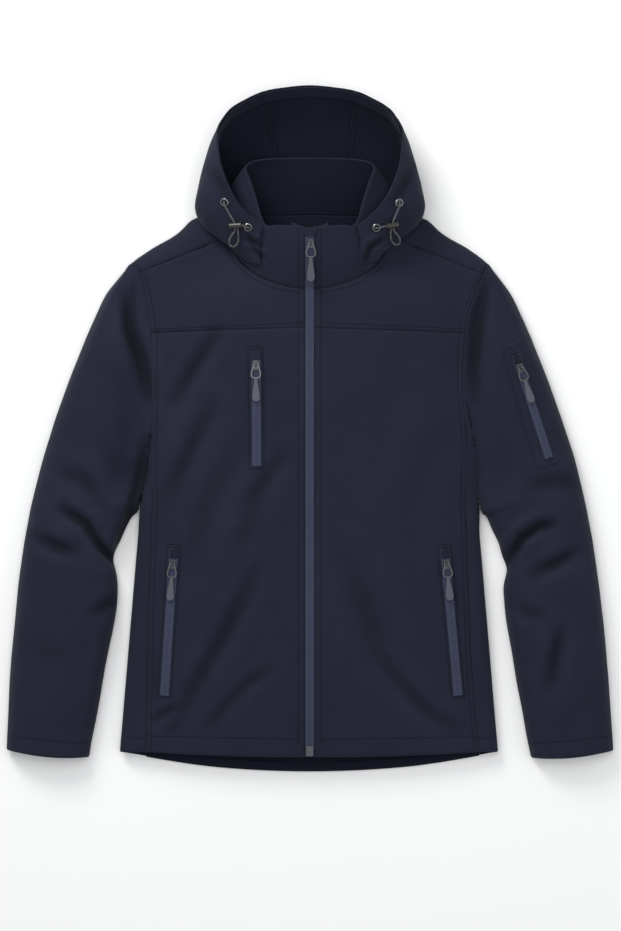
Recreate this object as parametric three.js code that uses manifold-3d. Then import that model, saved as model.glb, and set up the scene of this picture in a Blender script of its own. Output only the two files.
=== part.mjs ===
// A hooded softshell rain jacket, laid flat on its back.  Millimetres, +Z up.
// +Y points to the hood, and "left" is the -X side as one looks down on the laid jacket.
// The origin is on the surface, under the middle of the jacket's box.
import * as THREE from 'three';
import { mergeVertices } from 'three/addons/utils/BufferGeometryUtils.js';
import Module from 'manifold-3d';

const wasm = await Module();
wasm.setup();

// Driving dimensions: cloth and seams
const WALL = 2.0;              // softshell cloth
const SEAM_GAP = 0.34;         // between two panels at a seam
const LIFT = 0.5;              // between a panel and what is sewn on it
const ZIP_HALF = 6.0;          // from the middle line to a front's edge
const ZIP_X = -0.4;            // the zip's middle line
const FOLD_Z = 8.0;            // height of the rounded folds at the sides and along the sleeves

// Driving dimensions: body
const SIDES = {
  left: {
    sign: -1,
    armpit: { x: 231, y: -108 },
    split: { x: 214.7, y: 5 },          // where the side panel's seam leaves the armhole
    yokeOuterY: 129, yokeInnerY: 135.5,
    shoulderEnd: { x: 230, y: 211 },    // forward shoulder seam at the armhole
    shoulderFold: { x: 243, y: 224 },   // armhole seam at the shoulder's fold
    edgeAtArmpit: 231, edgeAtHem: 258,
    armhole: [
      { y: 211, x: 230 }, { y: 174, x: 222 }, { y: 129, x: 214.7 }, { y: 67, x: 214 },
      { y: 5, x: 214.7 }, { y: -43, x: 221 }, { y: -86, x: 228 }, { y: -108, x: 232 },
    ],
    sideSeam: [
      { y: 5, x: 214.7 }, { y: -97, x: 213.3 }, { y: -256, x: 218.7 }, { y: -440, x: 222 },
    ],
    sleeveOuter: [
      { y: 224, x: 243 }, { y: 186, x: 272.7 }, { y: 130, x: 298 }, { y: 73, x: 321 },
      { y: 16, x: 341.6 }, { y: -40, x: 359 }, { y: -97, x: 374 }, { y: -154, x: 384.8 },
      { y: -211, x: 392.9 }, { y: -267, x: 398 }, { y: -324, x: 403.7 }, { y: -440, x: 409 },
    ],
    sleeveRings: [
      { inX: 240.5, inY: -119, outY: -84, height: 38 },
      { inX: 251, inY: -138, outY: -108, height: 38 },
      { inX: 258.5, inY: -155, outY: -130, height: 37 },
      { inX: 266.6, inY: -174, outY: -151, height: 35 },
      { inX: 264, inY: -192, outY: -178, height: 36 },
      { inX: 261, inY: -211, outY: -205, height: 37 },
      { inX: 261.5, inY: -236, outY: -231, height: 38 },
      { inX: 266, inY: -267, outY: -267, height: 38 },
      { inX: 274, inY: -305, outY: -305, height: 37 },
      { inX: 281, inY: -343, outY: -342, height: 35 },
      { inX: 287.5, inY: -381, outY: -378, height: 33 },
      { inX: 294, inY: -413, outY: -407, height: 31 },
      { inX: 297, inY: -428, outY: -420, height: 30 },
      { inX: 299.7, inY: -446, outY: -436, height: 29 },
    ],
  },
  right: {
    sign: 1,
    armpit: { x: 230, y: -108 },
    split: { x: 208, y: 47 },
    yokeOuterY: 128, yokeInnerY: 135.3,
    shoulderEnd: { x: 234.5, y: 208 },
    shoulderFold: { x: 241, y: 224 },
    edgeAtArmpit: 228, edgeAtHem: 255,
    armhole: [
      { y: 208, x: 234.5 }, { y: 186, x: 225.5 }, { y: 151, x: 212.5 }, { y: 119, x: 209 },
      { y: 58, x: 207 }, { y: 47, x: 208 }, { y: 35, x: 213 }, { y: -16, x: 221.4 },
      { y: -97, x: 229 }, { y: -108, x: 230 },
    ],
    sideSeam: [
      { y: 47, x: 208 }, { y: -23, x: 213 }, { y: -97, x: 211 }, { y: -297, x: 217.4 },
      { y: -386, x: 224 }, { y: -440, x: 230 },
    ],
    sleeveOuter: [
      { y: 224, x: 241 }, { y: 186, x: 268.7 }, { y: 130, x: 294 }, { y: 73, x: 317 },
      { y: 16, x: 337.5 }, { y: -40, x: 356 }, { y: -97, x: 370 }, { y: -154, x: 381 },
      { y: -211, x: 389 }, { y: -267, x: 395.6 }, { y: -324, x: 401 }, { y: -440, x: 409 },
    ],
    sleeveRings: [
      { inX: 239, inY: -119, outY: -84, height: 38 },
      { inX: 247, inY: -138, outY: -108, height: 38 },
      { inX: 255.5, inY: -155, outY: -130, height: 37 },
      { inX: 261, inY: -174, outY: -151, height: 35 },
      { inX: 267, inY: -192, outY: -178, height: 35 },
      { inX: 263, inY: -211, outY: -205, height: 37 },
      { inX: 263.5, inY: -236, outY: -232, height: 38 },
      { inX: 267, inY: -267, outY: -267, height: 38 },
      { inX: 274, inY: -305, outY: -305, height: 37 },
      { inX: 280, inY: -343, outY: -342, height: 35 },
      { inX: 287.5, inY: -381, outY: -378, height: 33 },
      { inX: 293, inY: -413, outY: -407, height: 31 },
      { inX: 296, inY: -428, outY: -420, height: 30 },
      { inX: 300, inY: -447, outY: -437, height: 29 },
    ],
  },
};

// Height of the front's middle above the surface
const CREST = [
  { y: -446, z: 24 }, { y: -418, z: 27 }, { y: -340, z: 34 }, { y: -200, z: 40 },
  { y: -50, z: 42 }, { y: 130, z: 42 }, { y: 310, z: 44 },
];
const ROW_LEVELS = [-140, -175, -215, -256, -300, -340, -380, -418];   // between armpit and hem
const HEM_SIDE_Y = -439;
const HEM_FRONT_Y = -445.5;
const TAIL_Y = -463;
const TAIL_RISE = 24;
const SIDE_HEIGHT = { armhole: 24, below: 13 };
const SHOULDER_HEIGHT = 22;
const SHOULDER_ROLL = 95;      // length over which the front comes down to the shoulder seam

// Neck seam, from the zip to the shoulder seam
const NECK_FRONT = [
  { x: 6, y: 187.5 }, { x: 27, y: 190 }, { x: 47, y: 195.5 }, { x: 66, y: 203.5 },
  { x: 83, y: 215 }, { x: 99, y: 233 }, { x: 112, y: 258 },
];
// Neck seam at the back, from the middle to the side, and then up round the shoulder's fold
const NECK_BACK = [{ x: 0, y: 290, z: 2.5 }, { x: 45, y: 289, z: 2.5 }, { x: 84, y: 285, z: 2.5 }];
const NECK_SIDE = {
  under: { x: 110, y: 268, z: 2.5 }, fold: { x: 113, y: 275, z: 11.5 }, over: { x: 112.5, y: 267, z: 19.5 },
};
// Where the back turns over the shoulder, from the neck outwards
const SHOULDER_FOLD = [
  { x: 126, y: 279, z: 10 }, { x: 154.5, y: 281.5, z: 10 }, { x: 173, y: 267, z: 10 },
  { x: 194, y: 253.5, z: 10 }, { x: 215, y: 242.5, z: 9.5 },
];
// Collar's top edge, from the zip round to the middle of the back, with its swell to the side
const COLLAR_TOP = [
  { x: 6, y: 270, z: 66, swell: 0 }, { x: 20, y: 271, z: 66, swell: 0 },
  { x: 34, y: 271.5, z: 65.7, swell: 0 }, { x: 48, y: 272, z: 65, swell: 1 },
  { x: 61, y: 274, z: 63, swell: 3 }, { x: 70, y: 300, z: 60, swell: 5 },
  { x: 78, y: 325, z: 56, swell: 8 }, { x: 82.5, y: 338, z: 52, swell: 10 },
  { x: 87, y: 350, z: 47, swell: 12 }, { x: 83, y: 358, z: 42, swell: 13 },
  { x: 68, y: 362.5, z: 36, swell: 9 }, { x: 38, y: 365, z: 30, swell: 3 },
  { x: 0, y: 365.5, z: 28, swell: 0 },
];
const COLLAR_CROWN = 3;        // how far the collar's front arches

// Hood sections, from the front end over the top: brim, widest point, turn, and neck seam
const HOOD = [
  { brim: [63, 271, 68], wide: [67, 257, 64.5], turn: [68, 238, 57], neck: [66, 219, 50] },
  { brim: [78, 282, 73], wide: [88, 263, 66], turn: [94, 242, 54], neck: [86, 224, 44] },
  { brim: [91, 294, 77], wide: [114, 275, 62], turn: [120, 255, 45], neck: [103, 240, 36] },
  { brim: [104, 311, 80], wide: [138, 284, 56], turn: [141, 268, 36], neck: [116, 258, 27] },
  { brim: [114, 332, 80], wide: [152, 294, 48], turn: [152, 283, 30], neck: [121, 268, 25] },
  { brim: [121, 355, 78], wide: [156, 303, 42], turn: [151, 296, 17], neck: [123, 285, 10] },
  { brim: [125, 382, 73], wide: [148, 342, 38], turn: [136, 330, 5], neck: [100, 289, 0] },
  { brim: [125, 405, 66], wide: [134, 384, 38], turn: [118, 362, 6], neck: [78, 290, 0] },
  { brim: [107, 432, 58], wide: [105, 418, 37], turn: [90, 388, 8], neck: [56, 290, 0] },
  { brim: [63, 455, 52], wide: [61, 440, 35], turn: [53, 400, 8], neck: [32, 290, 0] },
  { brim: [0, 463, 50], wide: [0, 447, 34], turn: [0, 404, 8], neck: [0, 290, 0] },
];
const HOOD_SEAM_ROW = 9;       // the section where side and centre panels meet
const HOOD_STEPS = [4, 3, 4];  // rings between the four points of a section
const FACING = { thickness: 1.0, lift: 0.9, rings: 3, firstSection: 6 };

// Long soft folds pressed into the cloth: from one end to the other, half width and depth
const FOLDS = [
  { x0: -127, y0: 128, x1: -185, y1: 35, width: 16, depth: 2.5 },
  { x0: -70, y0: -192, x1: -120, y1: -288, width: 15, depth: 3 },
  { x0: -120, y0: -288, x1: -185, y1: -406, width: 15, depth: 3.5 },
  { x0: -50, y0: -321, x1: -140, y1: -409, width: 12, depth: 2.5 },
  { x0: 94, y0: -309, x1: 199, y1: -409, width: 14, depth: 3 },
  { x0: -333, y0: -109, x1: -268, y1: -177, width: 12, depth: 5 },
  { x0: -367, y0: -147, x1: -316, y1: -169, width: 12, depth: 3 },
  { x0: -289, y0: -248, x1: -263, y1: -235, width: 12, depth: 3 },
  { x0: 327, y0: -132, x1: 267, y1: -181, width: 12, depth: 5 },
  { x0: 360, y0: -166, x1: 301, y1: -197, width: 12, depth: 3 },
  { x0: 360, y0: -274, x1: 324, y1: -350, width: 12, depth: 3 },
];

// Zips: ends of each tape's middle line, and where the slider's hinge lies along it
const ZIPS = {
  chest: { x0: -73, y0: 106, x1: -71.8, y1: -52.7, half: 7.2, hinge: 20 },
  hand_left: { x0: -183.6, y0: -163, x1: -197, y1: -362, half: 6.2, hinge: 20 },
  hand_right: { x0: 182, y0: -163, x1: 200.5, y1: -362, half: 6.2, hinge: 20 },
  sleeve: { x0: 277.4, y0: 99, x1: 322.6, y1: -40.5, half: 5.6, hinge: 18 },
};
const TAPE = 1.2;
const MAIN_TAPE = { thickness: 1.6, sunk: 0.4 };
const PATCH = {
  top: { x: 256, y: 106, outerY: 123 }, bottom: { x: 303, y: -57, outerY: -46 },
  corner: 5, inset: 12, thickness: 1.0,
};
const MAIN_HINGE_Y = 249;
const GARAGE = { top: 268.5, bottom: 257, topHalf: 11, lowHalf: 6, thickness: 1.2, chestLength: 13 };
const BOX = { top: -430, bottom: -444, half: 4.8, height: 3 };

// Slider and pull
const SLIDER = {
  half: 4.2, front: 5, tail: 8, plate: 2.4, gap: 0.4, clear: 0.35,
  archOuter: 2.7, archInner: 1.15, archRise: 3.4, archWidth: 2.4,
};
const LINK = { length: 19.5, topHalf: 3.6, wideHalf: 7.2, bar: 0.75, rim: 1.7, thickness: 1.5 };
const GRIP = { neckHalf: 2.6, wideHalf: 5.6, thickness: 3 };
const GRIP_LENGTH = { main: 33, other: 31 };
const HINGE_RISE = 1.15;       // the pull's bar over the slider's plate
const MAIN_SLIDER_SHIFT = 1.5;

// Hood hardware
const EYELET = { outer: 6.3, inner: 3.2, height: 2, lift: 0.9 };
const EYELETS = [
  { name: 'upper_left', x: -114, y: 302 }, { name: 'lower_left', x: -83, y: 269 },
  { name: 'upper_right', x: 119, y: 301.5 }, { name: 'lower_right', x: 89, y: 268.5 },
];
const CORD = { radius: 1.2, sides: 8, steps: 48 };
// Each drawcord's middle line: upper eyelet, lock, loop, lock, lower eyelet
const CORD_ROUTES = {
  left: [
    [-115.1, 302.8, 74.5], [-115.1, 301.8, 75.5], [-114.8, 299.7, 76.6], [-113.9, 297.5, 76.8],
    [-112.7, 295, 76.5], [-109.2, 288.7, 74.9], [-105.4, 282, 73.4], [-101.9, 276, 72.2],
    [-101.1, 270.8, 70.3], [-100.6, 266.2, 68.6], [-101.3, 263.5, 66.6], [-105.2, 258, 63],
    [-108.4, 251.5, 57.5], [-107.6, 246.2, 54.2], [-103.6, 243.6, 54], [-98.9, 246, 56.6],
    [-96.2, 251.2, 60.6], [-96.2, 257.5, 64.6], [-96.9, 265, 69.3], [-97.2, 266.5, 69.8],
    [-96.9, 268.7, 70.8], [-95.5, 270.4, 72], [-93.3, 271.1, 73], [-91.1, 271.2, 73.7],
    [-89, 270.2, 73.5], [-86.5, 269, 73.2], [-84.4, 268.2, 72.5], [-82.6, 267.8, 70.9],
    [-81.9, 267.9, 69.7],
  ],
  right: [
    [119.9, 302.5, 72.4], [120.2, 301.5, 73.4], [120.2, 299.4, 74.4], [119.8, 297, 74.6],
    [119, 294.4, 74.4], [116.6, 288.6, 72.6], [114, 282.4, 71], [111.7, 276.8, 69.6],
    [111.7, 271.9, 67.1], [111.9, 267.5, 64.7], [113, 264.2, 61.6], [118, 258.6, 56.6],
    [121.2, 252.8, 52], [120.2, 248.2, 49.6], [116, 246.2, 49.6], [111.2, 249.2, 52.6],
    [108.8, 254.6, 56.4], [108.4, 260, 60.6], [108.5, 265.6, 65.2], [108.5, 267.1, 65.9],
    [107.9, 269.1, 67.2], [106.3, 270.4, 68.6], [104, 270.6, 69.6], [101.7, 270.2, 70.3],
    [96.1, 268.8, 70.9], [93.4, 268.1, 71.2], [91.1, 267.6, 71], [89, 267.6, 69.9],
    [88, 267.7, 68.9],
  ],
};
// Barrel locks: middle, direction of the barrel towards the lower eyelet, and the cloth's normal
const LOCK = { radius: 4.2, length: 16.6, slot: { from: -3.3, to: 5, height: 3.4 }, bore: 1.9 };
const LOCKS = {
  left: { centre: [-99.5, 270.9, 70.9], along: [0.947, 0.033, 0.321], up: [-0.287, -0.368, 0.884] },
  right: { centre: [110.1, 271.6, 67.6], along: [-0.939, -0.158, 0.305], up: [0.344, -0.432, 0.834] },
};

// Hanger loop at the back of the neck: ends, dip, half width and thickness
const HANGER = { reach: 25, y: 278, dip: 8, half: 2.6, thickness: 1.4, rise: 0.7, rows: 10 };

// Colours, seen in flat light
const NAVY = '#262c40';
const NAVY_DARK = '#1a1f30';
const TAPE_BLUE = '#4b5069';
const METAL = '#7c8088';
const RUBBER = '#60636f';
const CORD_GREY = '#4a4b50';

// Small helpers
const vec = (x, y, z) => new THREE.Vector3(x, y, z);
const mix = (a, b, t) => a + (b - a) * t;
const smooth = (t) => {
  const s = Math.min(1, Math.max(0, t));
  return s * s * (3 - 2 * s);
};

function lookUp(table, y, column = 'x') {
  const falling = table[0].y > table[table.length - 1].y;
  const rows = falling ? [...table].reverse() : table;
  if (y <= rows[0].y) return rows[0][column];
  for (let i = 1; i < rows.length; i += 1) {
    if (y <= rows[i].y) {
      const t = (y - rows[i - 1].y) / (rows[i].y - rows[i - 1].y);
      return mix(rows[i - 1][column], rows[i][column], t);
    }
  }
  return rows[rows.length - 1][column];
}

// Depth of all the pressed folds at one place
function foldDepth(x, y) {
  let depth = 0;
  for (const fold of FOLDS) {
    const dx = fold.x1 - fold.x0;
    const dy = fold.y1 - fold.y0;
    const length = Math.hypot(dx, dy);
    const along = ((x - fold.x0) * dx + (y - fold.y0) * dy) / length;
    const across = ((x - fold.x0) * dy - (y - fold.y0) * dx) / length;
    const past = Math.max(0, -along, along - length);
    const away = (across / fold.width) ** 2 + (past / (1.5 * fold.width)) ** 2;
    depth += fold.depth * Math.exp(-away);
  }
  return depth;
}

// The body's edge, the front's height, and its shoulder line
const edgeX = (side, y) => mix(side.edgeAtArmpit, side.edgeAtHem, (-116 - y) / 321);
const shoulderLineY = (x) => 258 - (Math.abs(x) - 112) * 0.405;

function frontHeight(side, x, y) {
  const below = smooth((side.split.y - y) / (side.split.y - side.armpit.y));
  const reach = mix(lookUp(side.armhole, y), edgeX(side, y), below);
  const rim = mix(SIDE_HEIGHT.armhole, SIDE_HEIGHT.below, below);
  const share = 1 - Math.min(1, Math.abs(x) / reach) ** 3;
  const body = rim + (lookUp(CREST, y, 'z') - rim) * share;
  const roll = smooth((shoulderLineY(x) - y) / SHOULDER_ROLL);
  return mix(SHOULDER_HEIGHT, body, roll) - foldDepth(x, y);
}

// A skin collects the quads of all panels that meet at seams, so that they share their edge points
class Skin {
  constructor() {
    this.points = [];
    this.lookup = new Map();
    this.faces = [];
  }

  add(point) {
    const key = [point.x, point.y, point.z].map((n) => Math.round(n * 50)).join();
    if (!this.lookup.has(key)) {
      this.lookup.set(key, this.points.length);
      this.points.push(point.clone());
    }
    return this.lookup.get(key);
  }

  // rows[r][c]: the outer side is where columns, then rows, turn anticlockwise; flip turns it round
  grid(panel, rows, flip = false) {
    const ids = rows.map((row) => row.map((point) => this.add(point)));
    for (let r = 0; r + 1 < ids.length; r += 1) {
      for (let c = 0; c + 1 < ids[r].length; c += 1) {
        const quad = [ids[r][c], ids[r][c + 1], ids[r + 1][c + 1], ids[r + 1][c]];
        if (flip) quad.reverse();
        this.triangle(panel, quad[0], quad[1], quad[2]);
        this.triangle(panel, quad[0], quad[2], quad[3]);
      }
    }
  }

  triangle(panel, a, b, c) {
    if (a !== b && b !== c && c !== a) this.faces.push({ panel, ids: [a, b, c] });
  }

  // Mean direction of the faces round each point
  finishNormals() {
    this.normals = this.points.map(() => vec(0, 0, 0));
    for (const { ids } of this.faces) {
      const [a, b, c] = ids.map((id) => this.points[id]);
      const cross = b.clone().sub(a).cross(c.clone().sub(a));
      for (const id of ids) this.normals[id].add(cross);
    }
    this.normals.forEach((normal) => normal.normalize());
  }

  // At the armpit, body and sleeve face each other, so each wall thickens its own way there
  partNormals(point) {
    this.parted = [...(this.parted ?? []), this.add(point)];
  }

  normalIn(panel, id) {
    if (!this.parted?.includes(id)) return this.normals[id];
    const normal = vec(0, 0, 0);
    for (const face of this.faces.filter((item) => item.panel === panel && item.ids.includes(id))) {
      const [a, b, c] = face.ids.map((corner) => this.points[corner]);
      normal.add(b.clone().sub(a).cross(c.clone().sub(a)));
    }
    return normal.normalize();
  }

  outerTriangles(panels) {
    return this.faces.filter((face) => panels.includes(face.panel))
      .map((face) => face.ids.map((id) => this.points[id]));
  }

  // One panel as a closed wall, drawn back from its seams
  wall(panel, thickness = WALL) {
    const faces = this.faces.filter((face) => face.panel === panel);
    const owners = new Map();
    for (const face of this.faces) {
      for (let i = 0; i < 3; i += 1) {
        const key = [face.ids[i], face.ids[(i + 1) % 3]].sort((p, q) => p - q).join();
        owners.set(key, [...(owners.get(key) ?? []), face.panel]);
      }
    }
    const pulls = new Map();
    const border = [];
    for (const face of faces) {
      for (let i = 0; i < 3; i += 1) {
        const [a, b] = [face.ids[i], face.ids[(i + 1) % 3]];
        const around = owners.get([a, b].sort((p, q) => p - q).join());
        const own = around.filter((name) => name === panel).length;
        if (own === 1) border.push([a, b]);
        if (own === 1 && around.length > 1) {
          const along = this.points[b].clone().sub(this.points[a]);
          for (const id of [a, b]) {
            const inward = this.normalIn(panel, id).clone().cross(along).normalize();
            pulls.set(id, [...(pulls.get(id) ?? []), inward]);
          }
        }
      }
    }
    const shift = (id) => {
      const list = pulls.get(id);
      if (!list) return vec(0, 0, 0);
      const half = SEAM_GAP / 2;
      if (list.length === 1) return list[0].clone().multiplyScalar(half);
      const sum = list.reduce((total, pull) => total.add(pull), vec(0, 0, 0));
      const dot = list[0].dot(list[list.length - 1]);
      return sum.multiplyScalar((2 / list.length) * (half / Math.max(0.5, 1 + dot)));
    };
    const outer = new Map();
    const inner = new Map();
    for (const face of faces) {
      for (const id of face.ids) {
        if (!outer.has(id)) {
          const place = this.points[id].clone().add(shift(id));
          place.z = Math.max(0, place.z);
          outer.set(id, place);
          inner.set(id, place.clone().addScaledVector(this.normalIn(panel, id), -thickness));
        }
      }
    }
    const triangles = [];
    for (const { ids: [a, b, c] } of faces) {
      triangles.push([outer.get(a), outer.get(b), outer.get(c)]);
      triangles.push([inner.get(a), inner.get(c), inner.get(b)]);
    }
    // Both panels at a seam split the strip between outside and inside along the same diagonal
    for (const [a, b] of border) {
      const [outA, outB, inA, inB] = [outer.get(a), outer.get(b), inner.get(a), inner.get(b)];
      if (a < b) triangles.push([outA, inA, outB], [outB, inA, inB]);
      else triangles.push([outA, inA, inB], [outA, inB, outB]);
    }
    return fromTriangles(triangles);
  }
}

// A closed mesh with its faces turned outwards
function fromTriangles(triangles) {
  const volume = triangles.reduce((sum, [a, b, c]) => sum + a.dot(b.clone().cross(c)), 0);
  if (volume < 0) triangles.forEach((corners) => corners.reverse());
  const geometry = new THREE.BufferGeometry();
  const numbers = triangles.flat().flatMap((point) => [point.x, point.y, point.z]);
  geometry.setAttribute('position', new THREE.Float32BufferAttribute(numbers, 3));
  return geometry;
}

// Highest point of a set of triangles over one place
function heightOver(triangles, x, y) {
  let best = -Infinity;
  for (const [a, b, c] of triangles) {
    const area = (b.x - a.x) * (c.y - a.y) - (c.x - a.x) * (b.y - a.y);
    if (Math.abs(area) > 1e-9) {
      const u = ((x - a.x) * (c.y - a.y) - (c.x - a.x) * (y - a.y)) / area;
      const v = ((b.x - a.x) * (y - a.y) - (x - a.x) * (b.y - a.y)) / area;
      if (u >= -1e-6 && v >= -1e-6 && u + v <= 1 + 1e-6) {
        best = Math.max(best, a.z + u * (b.z - a.z) + v * (c.z - a.z));
      }
    }
  }
  return best;
}

// A closed slab between two grids of the same size, the second one above the first
function slab(lower, upper) {
  const triangles = [];
  const quad = (a, b, c, d) => triangles.push([a, b, c], [a, c, d]);
  const rows = lower.length - 1;
  const columns = lower[0].length - 1;
  for (let r = 0; r < rows; r += 1) {
    for (let c = 0; c < columns; c += 1) {
      quad(upper[r][c], upper[r][c + 1], upper[r + 1][c + 1], upper[r + 1][c]);
      quad(lower[r][c], lower[r + 1][c], lower[r + 1][c + 1], lower[r][c + 1]);
    }
  }
  for (let c = 0; c < columns; c += 1) {
    quad(lower[0][c], lower[0][c + 1], upper[0][c + 1], upper[0][c]);
    quad(lower[rows][c + 1], lower[rows][c], upper[rows][c], upper[rows][c + 1]);
  }
  for (let r = 0; r < rows; r += 1) {
    quad(lower[r + 1][0], lower[r][0], upper[r][0], upper[r + 1][0]);
    quad(lower[r][columns], lower[r + 1][columns], upper[r + 1][columns], upper[r][columns]);
  }
  return fromTriangles(triangles);
}

// Rows of the back along its middle line, where both halves meet
const BACK_MIDDLE = { top: 180, yoke: 129, split: 26, armpit: -108 };
const BACK_MIDDLE_Y = [
  ...[0, 0.25, 0.5, 0.75].map((t) => mix(BACK_MIDDLE.split, BACK_MIDDLE.armpit, t)),
  BACK_MIDDLE.armpit, ...ROW_LEVELS, HEM_SIDE_Y,
];

// The armhole's points from the shoulder's fold (0) to the armpit (14), in front and behind
const ARMHOLE_ROWS = 14;
const YOKE_ROWS = 4;

function shoulderColumns(side) {
  const seam = [];
  const last = SHOULDER_FOLD.length;
  for (let j = 0; j <= last; j += 1) {
    const x = mix(112, side.shoulderEnd.x, j / last);
    const y = mix(258, side.shoulderEnd.y, j / last);
    seam.push(vec(side.sign * x, y, frontHeight(side, x, y)));
  }
  const folds = [...SHOULDER_FOLD, { ...side.shoulderFold, z: 9 }]
    .map((fold) => vec(side.sign * fold.x, fold.y, fold.z));
  return seam.map((top, j) => {
    const fold = folds[j];
    const outward = vec(fold.x - top.x, fold.y - top.y, 0).normalize();
    const under = fold.clone().addScaledVector(outward, -12);
    under.z = 0;
    const over = fold.clone().lerp(top, 0.45);
    over.z = mix(fold.z, top.z, 0.78);
    return { top, over, fold, under };
  });
}

function armholePoints(side) {
  const columns = shoulderColumns(side);
  const end = columns[columns.length - 1];
  const front = [end.fold, end.over, end.top];
  const backTop = side.sign * (lookUp(side.armhole, BACK_MIDDLE.top) + 4);
  const back = [end.fold, end.under, vec(backTop, BACK_MIDDLE.top, 0)];
  const frontDrop = [0, 0.5, 2, 6.5];
  const backLift = [0, 0, 0, 1];
  for (let k = 3; k <= ARMHOLE_ROWS; k += 1) {
    const levels = (topY) => [topY, side.yokeOuterY, side.split.y, side.armpit.y];
    const band = Math.floor((k - 3) / YOKE_ROWS);
    const t = ((k - 3) % YOKE_ROWS + 1) / YOKE_ROWS;
    const frontY = mix(levels(side.shoulderEnd.y)[band], levels(0)[band + 1], t);
    const backY = mix(levels(BACK_MIDDLE.top)[band], levels(0)[band + 1], t);
    const x = lookUp(side.armhole, frontY);
    const low = band === 2 ? frontDrop[(k - 3) % YOKE_ROWS] : 0;
    const high = band === 2 ? backLift[(k - 3) % YOKE_ROWS] : 0;
    front.push(vec(side.sign * x, frontY, frontHeight(side, x * side.sign, frontY) - low));
    back.push(vec(side.sign * (lookUp(side.armhole, backY) + 3 * (1 - t * (band === 2))), backY, high));
  }
  const armpit = vec(side.sign * side.armpit.x, side.armpit.y, FOLD_Z);
  front[ARMHOLE_ROWS] = armpit;
  back[ARMHOLE_ROWS] = armpit;
  return { front, back, columns };
}

// The body's rows from the yoke seam down: their outer ends at side seam or armhole, and at the zip
function bodyLevels(side) {
  const levels = [];
  for (let i = 0; i <= 4; i += 1) {
    const t = i / 4;
    const outer = mix(side.yokeOuterY, side.split.y, t);
    levels.push({ outer, inner: mix(side.yokeInnerY, side.split.y, t) });
  }
  for (let i = 1; i <= 4; i += 1) {
    const y = mix(side.split.y, side.armpit.y, i / 4);
    levels.push({ outer: y, inner: y });
  }
  for (const y of ROW_LEVELS) levels.push({ outer: y, inner: y });
  levels.push({ outer: HEM_SIDE_Y, inner: HEM_FRONT_Y, hem: true });
  return levels;
}

const FRONT_COLUMNS = 11;
const SIDE_SHARES = [0, 0.4, 0.75, 0.93, 1];

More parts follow.
